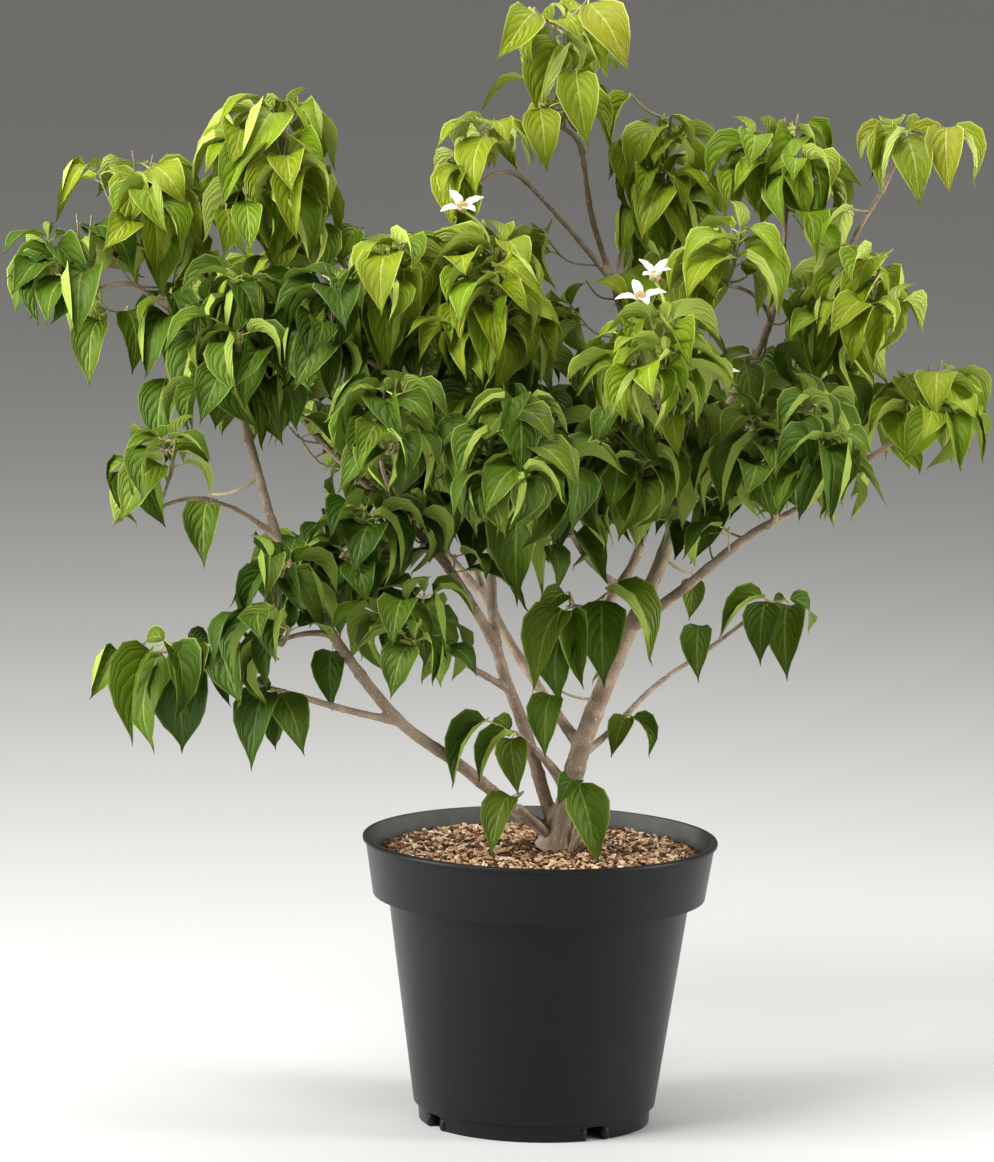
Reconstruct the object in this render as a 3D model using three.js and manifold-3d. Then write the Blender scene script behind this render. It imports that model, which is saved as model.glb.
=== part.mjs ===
// A young Schmetterling Chinese dogwood: a many-stemmed flowering shrub in a round nursery pot.
//
// Millimetres, +Z up. The origin is the centre of the pot's flat underside, +X is to the right of the
// shrub's show side and +Y points away from it. The soil lies in the pot, the trunk stands on the soil,
// every bough starts in its parent limb, and every mass of foliage starts at its bough. Pieces that
// touch keep a gap of 0.3 mm.

import * as THREE from 'three';
import { mergeVertices } from 'three/addons/utils/BufferGeometryUtils.js';
import Module from 'manifold-3d';

const wasm = await Module();
wasm.setup();

const TAU = 2 * Math.PI;
const GAP = 0.3;

// The pot: a stepped ten-litre container, measured from its rim diameter.
const POT = {
  rimRadius: 140,
  height: 226,
  wall: 2.2,
  lipDepth: 4,
  lipWidth: 2.4,
  lipRound: 0.8,
  collarRadius: 131,
  collarDepth: 46,
  shoulderRadius: 119,
  bodyFootRadius: 95.5,
  footHeight: 14,
  footRadius: 91,
  footRingWidth: 7,
  centreFootRadius: 32,
  drainNotches: 4,
  drainNotchTurn: 32,
  drainNotchWidth: 16,
  notchTop: 3,
  sides: 32,
};

// The soil's top: a flat patch round the trunk, falling a little towards the wall.
const SOIL = { top: 217, patchRadius: 48, shoulderRadius: 112, shoulderDrop: 2.5, edgeRadius: 130,
  edgeDrop: 7, edgeDepth: 6, wallGap: 0.5 };

// The leaves, shoots, stems and blooms that all masses share. A share is of the length it goes with.
const LEAF = { length: 74, width: 0.56, widest: 0.46, ribAt: 0.2, arch: 0.12, thickness: 1.6, fold: 1.8,
  sunk: 0.5, stalkShare: 0.16, spread: 0.1 };
const WHORL = { tiers: 2, tierStep: 13, tipMargin: 4, droop: [24, 42], terminalLength: 0.42,
  terminalRise: 74 };
const RETRY = { times: 4, steeper: 0.17, shorter: 0.93, turned: 0.3 };
const TWIG = { stemTip: 2.9, shootFoot: 1.35, shootTip: 1.5, sides: 3 };
const SHOOT = { apart: 5.5, knee: 0.42, sag: 0.2, loneRing: 0.3, turnJitter: 0.9, inset: 0.44,
  leastRoom: 0.34, belowTop: 14, lowest: -0.12, heightJitter: 5 };
const STEM = { step: 44, hubDrop: 0.3, startShare: 0.92, sideShare: 0.62, sideHeading: 0.4, bend: 0.45 };
const JITTER = { azimuth: 0.5, droop: 22, roll: 0.5, shortest: 0.92 };
const BLOOM = { stalk: 26, stalkRadius: 1.3, bract: 24, bractWidth: 0.8, ball: 4.6, rise: 14, lean: 4 };
const GOLDEN_ANGLE = Math.PI * (3 - Math.sqrt(5));
const LIMB_HULL = GAP + 0.15;
const CLEAR_OF_LIMB = 1;
const CLEAR_OF_NEIGHBOUR = 0.5;
const CLEAR_OF_SOIL = 2;

const COLOURS = {
  pot: '#35373a', soil: '#4a3021', bark: '#8b7a69',
  lime: '#9fb63a', fresh: '#76992a', green: '#537f22', deep: '#375f19',
};

// Limbs in growing order: the parent and the height where it leaves it, its radius at foot and tip,
// its number of sides, and the points that it passes.
const LIMBS = {
  trunk: { radii: [9, 5], sides: 7, via: [[12, -2, SOIL.top + GAP], [18, -6, 245], [32, -10, 305],
    [63, -14, 388], [85, -4, 436], [111, 20, 510]] },
  stem_middle: { parent: 'trunk', height: 228, radii: [5.6, 2.6], sides: 6,
    via: [[3, 0, 258], [-13, -8, 310], [-37, -12, 376], [-44, 4, 450], [-45, -14, 560], [-37, -68, 632]] },
  stem_left: { parent: 'trunk', height: 226, radii: [5.4, 3.4], sides: 6,
    via: [[-20, -8, 249], [-64, -30, 287], [-111, -52, 324], [-160, -72, 388], [-205, -66, 460],
      [-234, -48, 545]] },
  leader: { parent: 'trunk', height: 352, radii: [4.4, 2.2], sides: 6,
    via: [[47, 4, 405], [70, 34, 445], [80, 44, 490], [74, 50, 560], [48, 54, 657], [30, 60, 708],
      [20, 46, 765]] },
  bough_low_back: { parent: 'trunk', height: 300, radii: [4.6, 2.6], sides: 5,
    via: [[0, 24, 336], [-38, 62, 389], [-62, 118, 440], [-52, 172, 460]] },
  bough_low_right: { parent: 'trunk', height: 290, radii: [3, 1.9], sides: 5,
    via: [[54, 22, 309], [88, 52, 340], [128, 74, 366]] },
  bough_low_left: { parent: 'stem_left', height: 324, radii: [3.2, 2], sides: 5,
    via: [[-150, -70, 335], [-208, -98, 355], [-250, -110, 366]] },
  bough_right: { parent: 'trunk', height: 396, radii: [4.6, 2.4], sides: 6,
    via: [[107, -36, 432], [158, -62, 480], [203, -60, 506], [248, -54, 540]] },
  bough_low_front: { parent: 'stem_middle', height: 345, radii: [2.8, 1.9], sides: 5,
    via: [[-63, -36, 370], [-84, -78, 398]] },
  bough_long_left: { parent: 'stem_middle', height: 380, radii: [4.2, 2.1], sides: 6,
    via: [[-82, -50, 453], [-125, -42, 495], [-171, -25, 533], [-219, 8, 579], [-274, 0, 620],
      [-322, -10, 655]] },
  bough_centre: { parent: 'leader', height: 424, radii: [2.8, 1.9], sides: 5,
    via: [[32, -6, 449], [8, -62, 496], [-14, -138, 540]] },
  bough_front: { parent: 'trunk', height: 468, radii: [3, 1.9], sides: 5,
    via: [[96, -24, 514], [92, -82, 556], [82, -134, 592]] },
  bough_upper_right: { parent: 'trunk', height: 506, radii: [4, 2], sides: 5,
    via: [[133, 18, 559], [160, 8, 610], [176, 0, 665], [180, 4, 728]] },
  bough_far_right: { parent: 'trunk', height: 496, radii: [3.8, 2], sides: 5,
    via: [[157, 2, 533], [196, -12, 566], [216, -18, 632], [230, -16, 700], [254, -14, 746]] },
  bough_top_left: { parent: 'leader', height: 662, radii: [2.5, 1.8], sides: 5,
    via: [[12, 40, 703], [-24, 20, 743]] },
  bough_top_right: { parent: 'leader', height: 648, radii: [2.6, 1.8], sides: 5,
    via: [[54, 62, 686], [72, 64, 716]] },
  bough_left_up: { parent: 'stem_middle', height: 452, radii: [3.2, 2], sides: 5,
    via: [[-86, 18, 548], [-132, 12, 627], [-178, 4, 696], [-198, 0, 722]] },
  bough_left_outer: { parent: 'bough_long_left', height: 640, radii: [2.3, 1.7], sides: 5,
    via: [[-306, 6, 668], [-318, 10, 688]] },
  bough_left_low: { parent: 'stem_left', height: 470, radii: [2.7, 1.8], sides: 5,
    via: [[-242, -75, 492], [-262, -84, 500]] },
  bough_back_left: { parent: 'bough_low_back', height: 400, radii: [3.4, 2], sides: 5,
    via: [[-110, 98, 470], [-170, 144, 532], [-215, 176, 574]] },
  bough_back_right: { parent: 'trunk', height: 480, radii: [3.4, 2], sides: 5,
    via: [[140, 64, 530], [180, 118, 568], [206, 150, 592]] },
  bough_back_top: { parent: 'bough_low_back', height: 425, radii: [3.2, 2], sides: 5,
    via: [[-66, 122, 500], [-70, 144, 556], [-66, 162, 594]] },
};

// Foliage masses: the limb that carries it and the height where its stem leaves the limb (none at the
// limb's tip), the middle and half sizes of its space, its shoots, its green, and its blooms.
const MASSES = {
  top_leader: { limb: 'leader', middle: [-6, 22, 812], half: [64, 59, 81], shoots: 4, green: 'lime' },
  top_left: { limb: 'bough_top_left', middle: [-60, -26, 760], half: [48, 55, 57], shoots: 2, green: 'lime' },
  top_right: { limb: 'bough_top_right', middle: [80, 58, 745], half: [55, 59, 73],
    shoots: 3, green: 'fresh' },
  upper_right: { limb: 'bough_upper_right', middle: [178, 10, 766], half: [70, 62, 57],
    shoots: 3, green: 'fresh' },
  far_right_top: { limb: 'bough_far_right', middle: [275, -20, 771], half: [66, 59, 48],
    shoots: 2, green: 'lime' },
  right_shoulder: { seed: 20, limb: 'bough_far_right', height: 632, middle: [240, -52, 662],
    half: [68, 68, 59], shoots: 3, green: 'fresh' },
  right_inner: { limb: 'bough_upper_right', height: 640, middle: [134, -84, 692], half: [52, 54, 54],
    shoots: 2, green: 'fresh' },
  right_edge: { limb: 'bough_right', middle: [290, -50, 586], half: [64, 64, 55], shoots: 3, green: 'fresh' },
  right_low: { limb: 'bough_right', height: 490, middle: [186, -118, 555], half: [86, 70, 59], shoots: 4,
    green: 'green' },
  dome: { limb: 'bough_front', middle: [74, -166, 628], half: [68, 73, 51],
    shoots: 4, green: 'fresh', blooms: 2 },
  dome_low: { limb: 'bough_front', height: 516, middle: [64, -100, 546], half: [64, 64, 59], shoots: 3,
    green: 'green' },
  centre_top: { limb: 'stem_middle', middle: [-48, -100, 664], half: [66, 68, 66],
    shoots: 4, green: 'fresh', blooms: 1 },
  centre_left: { limb: 'bough_left_up', height: 610, middle: [-128, -92, 674], half: [58, 60, 56], shoots: 2,
    green: 'fresh' },
  centre_front: { limb: 'bough_centre', middle: [-34, -186, 556], half: [62, 68, 62],
    shoots: 3, green: 'green' },
  left_front: { limb: 'bough_long_left', height: 480, middle: [-128, -172, 571], half: [59, 68, 51],
    shoots: 3, green: 'green' },
  left_top: { limb: 'bough_left_up', middle: [-222, 0, 749], half: [77, 68, 73], shoots: 4, green: 'fresh' },
  left_outer: { limb: 'bough_left_outer', middle: [-330, 10, 722], half: [77, 66, 59],
    shoots: 4, green: 'fresh' },
  far_left: { limb: 'bough_long_left', middle: [-370, -10, 664], half: [73, 66, 72],
    shoots: 4, green: 'green' },
  left_inner: { limb: 'stem_left', middle: [-246, -44, 616], half: [73, 73, 77], shoots: 4, green: 'green' },
  left_inner_right: { limb: 'bough_left_up', height: 560, middle: [-172, -104, 644], half: [46, 57, 57],
    shoots: 2, green: 'deep' },
  left_low: { limb: 'bough_left_low', middle: [-300, -108, 514], half: [66, 66, 62],
    shoots: 3, green: 'green' },
  low_left_mid: { limb: 'stem_left', height: 395, middle: [-214, -128, 414], half: [66, 66, 73], shoots: 3,
    green: 'deep' },
  left_centre_low: { limb: 'bough_long_left', height: 460, middle: [-142, -84, 466], half: [54, 54, 56],
    shoots: 2, green: 'deep' },
  far_low_left: { limb: 'bough_low_left', middle: [-300, -116, 366], half: [75, 66, 57],
    shoots: 3, green: 'deep' },
  low_left_small: { limb: 'bough_low_left', height: 349, middle: [-198, -108, 336], half: [50, 54, 52],
    shoots: 2, green: 'deep' },
  low_front: { limb: 'bough_low_front', middle: [-104, -118, 404], half: [66, 64, 53],
    shoots: 3, green: 'deep' },
  low_centre: { limb: 'leader', height: 395, middle: [28, -72, 395], half: [59, 55, 55],
    shoots: 2, green: 'deep' },
  basal_shoots: { limb: 'trunk', height: 262, middle: [4, -44, 278], half: [86, 66, 79],
    shoots: 3, green: 'deep' },
  low_right: { limb: 'bough_low_right', middle: [162, 86, 384], half: [60, 60, 52],
    shoots: 3, green: 'deep' },
  back_high: { limb: 'leader', height: 610, middle: [86, 150, 676], half: [57, 66, 59],
    shoots: 3, green: 'fresh', blooms: 1 },
  back_centre: { limb: 'bough_back_top', middle: [-66, 172, 632], half: [68, 68, 62],
    shoots: 4, green: 'fresh' },
  back_left: { limb: 'bough_back_left', middle: [-244, 190, 608], half: [70, 68, 66],
    shoots: 4, green: 'fresh', blooms: 1 },
  back_left_low: { limb: 'bough_back_left', height: 470, middle: [-178, 150, 420], half: [62, 64, 59],
    shoots: 3, green: 'deep' },
  back_right: { limb: 'bough_back_right', middle: [222, 168, 620], half: [68, 68, 59],
    shoots: 4, green: 'fresh' },
  back_low: { limb: 'bough_low_back', middle: [-36, 222, 498], half: [68, 64, 59],
    shoots: 3, green: 'green' },
  back_mid: { limb: 'bough_back_right', height: 540, middle: [86, 206, 556], half: [66, 66, 57], shoots: 3,
    green: 'green' },
};

// Helpers for vectors and random draws.
const vector = (p) => new THREE.Vector3(p[0], p[1], p[2]);
const lerp = (a, b, t) => a + (b - a) * t;
const radians = (degrees) => degrees * Math.PI / 180;

// Draws between 0 and 1 that repeat for the same seed.
function seededDraws(seed) {
  let state = (seed * 7919 + 104729) % 2147483647;
  const draw = () => {
    state = (state * 16807) % 2147483647;
    return state / 2147483647;
  };
  draw();
  draw();
  return draw;
}

function closedGeometry(points, triangles) {
  const geometry = new THREE.BufferGeometry();
  geometry.setAttribute('position', new THREE.BufferAttribute(new Float32Array(points.flat()), 3));
  geometry.setIndex(triangles.flat());
  return geometry;
}

// A tube round the path with its own radius at each point, closed by flat ends. Its first corner looks
// towards the given direction, or to the side.
function taperedTube(path, radii, sides, towards = null) {
  const points = [];
  const triangles = [];
  const along = path[1].clone().sub(path[0]).normalize();
  const level = Math.abs(along.z) < 0.9 ? new THREE.Vector3(0, 0, 1) : new THREE.Vector3(1, 0, 0);
  const side = towards ? towards.clone() : new THREE.Vector3().crossVectors(along, level);
  path.forEach((point, ring) => {
    const before = path[Math.max(ring - 1, 0)];
    const after = path[Math.min(ring + 1, path.length - 1)];
    along.subVectors(after, before).normalize();
    side.addScaledVector(along, -side.dot(along)).normalize();
    const across = new THREE.Vector3().crossVectors(along, side);
    for (let k = 0; k < sides; k += 1) {
      const angle = TAU * k / sides;
      const p = point.clone().addScaledVector(side, radii[ring] * Math.cos(angle));
      p.addScaledVector(across, radii[ring] * Math.sin(angle));
      points.push([p.x, p.y, p.z]);
    }
  });
  for (let ring = 0; ring + 1 < path.length; ring += 1) {
    for (let k = 0; k < sides; k += 1) {
      const a = ring * sides + k;
      const b = ring * sides + (k + 1) % sides;
      triangles.push([a, b, b + sides], [a, b + sides, a + sides]);
    }
  }
  const last = (path.length - 1) * sides;
  for (let k = 1; k + 1 < sides; k += 1) {
    triangles.push([0, k + 1, k], [last, last + k, last + k + 1]);
  }
  return closedGeometry(points, triangles);
}

// Solids for joining and cutting, and back again.
function solidOf(geometry) {
  const bare = geometry.clone();
  bare.deleteAttribute('normal');
  bare.deleteAttribute('uv');
  const merged = mergeVertices(bare, 1e-3);
  return new wasm.Manifold(new wasm.Mesh({
    numProp: 3,
    vertProperties: new Float32Array(merged.attributes.position.array),
    triVerts: new Uint32Array(merged.index.array),
  }));
}

// Corners are snapped to a thousandth of a millimetre, so that two of them are either one or apart.
function geometryOf(solid) {
  const { vertProperties, triVerts } = solid.getMesh();
  const geometry = new THREE.BufferGeometry();
  const snapped = Float32Array.from(vertProperties, (value) => Math.round(value * 1000) / 1000);
  geometry.setAttribute('position', new THREE.BufferAttribute(snapped, 3));
  geometry.setIndex(new THREE.BufferAttribute(new Uint32Array(triVerts), 1));
  return geometry;
}

// Keeps the one main body: a loose scrap is dropped, and a sealed hollow, which counts as a body of
// its own with a negative volume, is filled. The second pass follows the snapping of the corners.
function mainBody(solid) {
  const largest = (bodies) => bodies.reduce((best, body) => (body.volume() > best.volume() ? body : best));
  return largest(solidOf(geometryOf(largest(solid.decompose()))).decompose());
}

// Whether more than two faces meet at an edge, as where two twigs only just touch.
function isPinched(solid) {
  const geometry = geometryOf(solid);
  const corners = geometry.attributes.position.array;
  const key = (k) => Array.from(corners.slice(3 * k, 3 * k + 3), (value) => value.toFixed(3)).join();
  const keys = Array.from({ length: corners.length / 3 }, (_, k) => key(k));
  const faces = geometry.index.array;
  const seen = new Set();
  for (let k = 0; k < faces.length; k += 1) {
    const edge = `${keys[faces[k]]} ${keys[faces[k % 3 === 2 ? k - 2 : k + 1]]}`;
    if (seen.has(edge)) return true;
    seen.add(edge);
  }
  return false;
}

// The flowerpot's wall, floor, foot and drain notches.
function makePot() {
  const p = POT;
  const bandTop = p.height - p.lipDepth;
  const bandFoot = p.height - p.collarDepth;
  const floorTop = p.footHeight + p.wall;
  const profile = [
    [0, 0], [p.centreFootRadius, 0], [p.centreFootRadius + 2, p.footHeight],
    [p.footRadius - p.footRingWidth, p.footHeight], [p.footRadius - p.footRingWidth + 1, 0],
    [p.footRadius, 0], [p.footRadius + 1, p.footHeight - 1], [p.bodyFootRadius, p.footHeight],
    [p.shoulderRadius, bandFoot], [p.collarRadius, bandFoot],
    [p.rimRadius - p.lipWidth, bandTop], [p.rimRadius, bandTop + p.lipRound],
    [p.rimRadius, p.height - p.lipRound],
    [p.rimRadius - p.lipRound, p.height], [p.rimRadius - p.lipWidth - p.wall, p.height],
    [p.collarRadius - p.wall, bandFoot + p.wall], [p.shoulderRadius - p.wall, bandFoot + p.wall],
    [p.bodyFootRadius - p.wall, floorTop], [0, floorTop],
  ];
  const lathe = new THREE.LatheGeometry(profile.map(([r, z]) => new THREE.Vector2(r, z)), p.sides);
  lathe.rotateX(Math.PI / 2);
  let pot = solidOf(lathe);
  for (let k = 0; k < p.drainNotches; k += 1) {
    const notch = new THREE.BoxGeometry(p.footRingWidth * 4, p.drainNotchWidth, p.footHeight);
    notch.translate(p.footRadius, 0, p.footHeight / 2 - p.notchTop);
    notch.rotateZ(radians(p.drainNotchTurn) + TAU * k / p.drainNotches);
    pot = pot.subtract(solidOf(notch));
  }
  return geometryOf(pot);
}

function makeSoil() {
  const p = POT;
  const inset = p.wall + SOIL.wallGap;
  const bandFoot = p.height - p.collarDepth;
  const floor = p.footHeight + p.wall + GAP;
  const ledge = bandFoot + p.wall + GAP;
  const profile = [
    [0, floor], [p.bodyFootRadius - inset, floor], [p.shoulderRadius - inset, ledge],
    [p.collarRadius - inset, ledge], [SOIL.edgeRadius + 1, SOIL.top - SOIL.edgeDrop - SOIL.edgeDepth],
    [SOIL.edgeRadius, SOIL.top - SOIL.edgeDrop], [SOIL.shoulderRadius, SOIL.top - SOIL.shoulderDrop],
    [SOIL.patchRadius, SOIL.top], [0, SOIL.top],
  ];
  const lathe = new THREE.LatheGeometry(profile.map(([r, z]) => new THREE.Vector2(r, z)), p.sides);
  return lathe.rotateX(Math.PI / 2);
}

// Limbs: each knows its smooth middle line, its radii and its solid.
const LIMB_STEP = 42;
const ROOT_FLARE = { extra: 9, reach: 13, waistAt: 0.3, waist: 0.45 };

function axisAtHeight(line, height) {
  for (let k = 0; k + 1 < line.length; k += 1) {
    const [low, high] = [line[k], line[k + 1]];
    if (low.z <= height && height <= high.z) {
      const t = (height - low.z) / (high.z - low.z);
      return { point: low.clone().lerp(high, t), step: k + t };
    }
  }
  throw new Error(`no point at height ${height}`);
}

function growLimb(name, grown) {
  const row = LIMBS[name];
  const points = row.via.map(vector);
  if (row.parent) points.unshift(axisAtHeight(grown[row.parent].line, row.height).point);
  const curve = new THREE.CatmullRomCurve3(points, false, 'centripetal');
  const steps = Math.ceil(curve.getLength() / LIMB_STEP);
  const line = curve.getSpacedPoints(steps);
  const [foot, tip] = row.radii;
  const radii = line.map((p, k) => {
    const flare = row.parent ? 0 : ROOT_FLARE.extra * Math.exp(-(p.z - SOIL.top) / ROOT_FLARE.reach);
    return lerp(foot, tip, k / steps) + flare;
  });
  return { name, line, radii, sides: row.sides };
}

function inflatedLimb(limb) {
  return solidOf(taperedTube(limb.line, limb.radii.map((r) => r + LIMB_HULL), limb.sides));
}

// The trunk's foot is a flat level cut, so its first ring is laid flat before the tube is closed.
function makeTrunkSolid(limb, extra) {
  const [first, second] = limb.line;
  const lead = new THREE.Vector3(first.x, first.y, SOIL.top + GAP - extra);
  const rise = first.clone().lerp(second, ROOT_FLARE.waistAt);
  const middle = lerp(limb.radii[1], limb.radii[0], ROOT_FLARE.waist);
  const line = [lead, rise, ...limb.line.slice(1)];
  const radii = [limb.radii[0], middle, ...limb.radii.slice(1)].map((r) => r + extra);
  const tube = taperedTube(line, radii, limb.sides);
  const position = tube.attributes.position;
  for (let k = 0; k < limb.sides; k += 1) position.setZ(k, lead.z);
  return solidOf(tube);
}

function growLimbs() {
  const grown = {};
  for (const name of Object.keys(LIMBS)) {
    const limb = growLimb(name, grown);
    const isTrunk = !LIMBS[name].parent;
    let solid = isTrunk ? makeTrunkSolid(limb, 0) : solidOf(taperedTube(limb.line, limb.radii, limb.sides));
    for (const other of Object.values(grown)) solid = solid.subtract(other.hull);
    limb.solid = mainBody(solid);
    limb.hull = isTrunk ? makeTrunkSolid(limb, LIMB_HULL) : inflatedLimb(limb);
    grown[name] = limb;
  }
  return grown;
}

// A leaf of eight faces from its foot to its tip, folded up a little along its midrib. It starts inside
// the twig, or past it for a probe that asks what the blade would cross.
function leafGeometry(foot, along, up, length, widthShare, start = -LEAF.sunk) {
  const across = new THREE.Vector3().crossVectors(along, up).normalize();
  const half = length * widthShare / 2;
  const bow = length * LEAF.arch;
  const belly = foot.clone().addScaledVector(along, length * LEAF.widest).addScaledVector(up, bow);
  const rib = foot.clone().addScaledVector(along, length * LEAF.ribAt);
  rib.addScaledVector(up, bow * LEAF.ribAt / LEAF.widest - LEAF.fold);
  const corners = [
    foot.clone().addScaledVector(along, start),
    foot.clone().addScaledVector(along, length),
    belly.clone().addScaledVector(across, half),
    belly.clone().addScaledVector(across, -half),
    rib.clone().addScaledVector(up, LEAF.thickness / 2),
    rib.clone().addScaledVector(up, -LEAF.thickness / 2),
  ];
  const faces = [[0, 2, 4], [2, 1, 4], [1, 3, 4], [3, 0, 4], [2, 0, 5], [1, 2, 5], [3, 1, 5], [0, 3, 5]];
  return { corners, geometry: closedGeometry(corners.map((c) => [c.x, c.y, c.z]), faces) };
}

// A leaf's two directions: azimuth round the shoot, and how steeply it hangs below the level.
function leafDirections(azimuth, droop, roll) {
  const out = new THREE.Vector3(Math.cos(azimuth), Math.sin(azimuth), 0);
  const along = out.clone().multiplyScalar(Math.cos(droop)).setZ(-Math.sin(droop));
  const up = out.clone().multiplyScalar(Math.sin(droop)).setZ(Math.cos(droop));
  return { along, up: up.applyAxisAngle(along, roll) };
}

// A mass's own space: a rounded box, less what lies past the planes that part it from its neighbours.
function reachTowards(row, direction) {
  const [a, b, c] = row.half;
  return Math.hypot(a * direction.x, b * direction.y, c * direction.z);
}

function partingPlanes(name) {
  const row = MASSES[name];
  const own = vector(row.middle);
  return Object.entries(MASSES).filter(([other]) => other !== name).map(([, otherRow]) => {
    const direction = vector(otherRow.middle).sub(own);
    const apart = direction.length();
    direction.normalize();
    const ownReach = reachTowards(row, direction);
    const share = ownReach / (ownReach + reachTowards(otherRow, direction));
    return { direction, limit: direction.dot(own) + apart * share - CLEAR_OF_NEIGHBOUR };
  });
}

function insideSpace(space, point, margin = 0) {
  const { middle, half } = space.row;
  const out = [point.x - middle[0], point.y - middle[1], point.z - middle[2]];
  const fill = out.reduce((sum, value, k) => sum + (Math.abs(value) / (half[k] - margin)) ** 3, 0);
  return fill <= 1 && point.z >= SOIL.top + CLEAR_OF_SOIL
    && space.planes.every(({ direction, limit }) => direction.dot(point) <= limit - margin);
}

function distanceToLine(point, limb) {
  let nearest = Infinity;
  const segment = new THREE.Line3();
  const foot = new THREE.Vector3();
  for (let k = 0; k + 1 < limb.line.length; k += 1) {
    segment.set(limb.line[k], limb.line[k + 1]).closestPointToPoint(point, true, foot);
    nearest = Math.min(nearest, foot.distanceTo(point) - Math.max(limb.radii[k], limb.radii[k + 1]));
  }
  return nearest;
}

const clearOf = (obstacles, points, clearance) => obstacles.every(
  (limb) => points.every((point) => distanceToLine(point, limb) >= clearance));

// Points spread over a leaf, for the test against limbs.
function leafSamples([foot, tip, left, right]) {
  const samples = [];
  for (let k = 1; k <= 7; k += 1) {
    const t = k / 7;
    const width = t < LEAF.widest ? t / LEAF.widest : (1 - t) / (1 - LEAF.widest);
    const middle = foot.clone().lerp(tip, t);
    const across = left.clone().sub(right).multiplyScalar(width / 2);
    samples.push(middle, middle.clone().add(across), middle.clone().sub(across));
  }
  return samples;
}

// The stem of a mass: a curve from its limb to the hub where the shoots part.
function stemLine(row, limb) {
  const middle = vector(row.middle);
  const hub = middle.clone();
  hub.z -= row.half[2] * STEM.hubDrop;
  let start = limb.line[limb.line.length - 1].clone();
  let heading = start.clone().sub(limb.line[limb.line.length - 2]).normalize();
  let radius = limb.radii[limb.radii.length - 1] * STEM.startShare;
  if (row.height) {
    const { point, step } = axisAtHeight(limb.line, row.height);
    start = point;
    radius = lerp(limb.radii[Math.floor(step)], limb.radii[Math.ceil(step)], step % 1) * STEM.sideShare;
    heading = hub.clone().sub(start).normalize().addScaledVector(heading, STEM.sideHeading).normalize();
  } else {
    start.addScaledVector(heading, GAP);
  }
  const reach = start.distanceTo(hub);
  const bend = start.clone().addScaledVector(heading, reach * STEM.bend);
  const curve = new THREE.QuadraticBezierCurve3(start, bend, hub);
  const steps = Math.max(2, Math.ceil(reach / STEM.step));
  const line = curve.getPoints(steps);
  return { line, radii: line.map((_, k) => lerp(Math.max(radius, TWIG.stemTip), TWIG.stemTip, k / steps)) };
}

// Where the shoots of a mass end: on a golden-angle spiral from its top outward and down.
function shootTip(row, k, count, draw) {
  const share = (k + 0.5) / count;
  const ring = Math.sqrt(share) * (count > 1 ? 1 : SHOOT.loneRing);
  const azimuth = k * GOLDEN_ANGLE + draw() * SHOOT.turnJitter;
  const room = (half) => Math.max(half - LEAF.length * SHOOT.inset, half * SHOOT.leastRoom);
  const height = lerp(row.half[2] - SHOOT.belowTop, row.half[2] * SHOOT.lowest, share);
  return new THREE.Vector3(
    row.middle[0] + room(row.half[0]) * ring * Math.cos(azimuth),
    row.middle[1] + room(row.half[1]) * ring * Math.sin(azimuth),
    row.middle[2] + height - draw() * SHOOT.heightJitter,
  );
}

// The leaves at one shoot's end: opposite pairs, each turned from the last, and a small upright one.
function whorl({ tip, heading, turn, draw }) {
  const leaves = [];
  const lengthShare = lerp(JITTER.shortest, 1, draw());
  for (let tier = 0; tier < WHORL.tiers; tier += 1) {
    const foot = tip.clone().addScaledVector(heading, -WHORL.tierStep * tier - WHORL.tipMargin);
    for (let one = 0; one < 2; one += 1) {
      const azimuth = turn + tier * Math.PI * 0.5 + one * Math.PI + (draw() - 0.5) * JITTER.azimuth;
      const droop = radians(WHORL.droop[tier] + (draw() - 0.5) * JITTER.droop);
      const length = LEAF.length * lengthShare * (1 + (draw() - 0.5) * 2 * LEAF.spread);
      leaves.push({ foot, azimuth, droop, length, roll: (draw() - 0.5) * JITTER.roll });
    }
  }
  const foot = tip.clone().addScaledVector(heading, -2);
  leaves.push({ foot, azimuth: turn + Math.PI / 2, droop: -radians(WHORL.terminalRise), roll: 0,
    length: LEAF.length * WHORL.terminalLength * lengthShare });
  return leaves;
}

// A bloom on its stalk: four pointed bracts in a cross round a small ball.
function bloomParts(tip, draw) {
  const lean = () => (draw() - 0.5) * BLOOM.lean;
  const top = tip.clone().add(new THREE.Vector3(lean(), lean(), BLOOM.stalk));
  const parts = [taperedTube([tip, top], [BLOOM.stalkRadius, BLOOM.stalkRadius], TWIG.sides)];
  const turn = draw() * TAU;
  for (let k = 0; k < 4; k += 1) {
    const { along, up } = leafDirections(turn + k * TAU / 4, -radians(BLOOM.rise), 0);
    parts.push(leafGeometry(top, along, up, BLOOM.bract, BLOOM.bractWidth).geometry);
  }
  const ball = new THREE.IcosahedronGeometry(BLOOM.ball, 0);
  parts.push(ball.translate(top.x, top.y, top.z + BLOOM.ball * 0.5));
  return parts;
}

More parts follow.
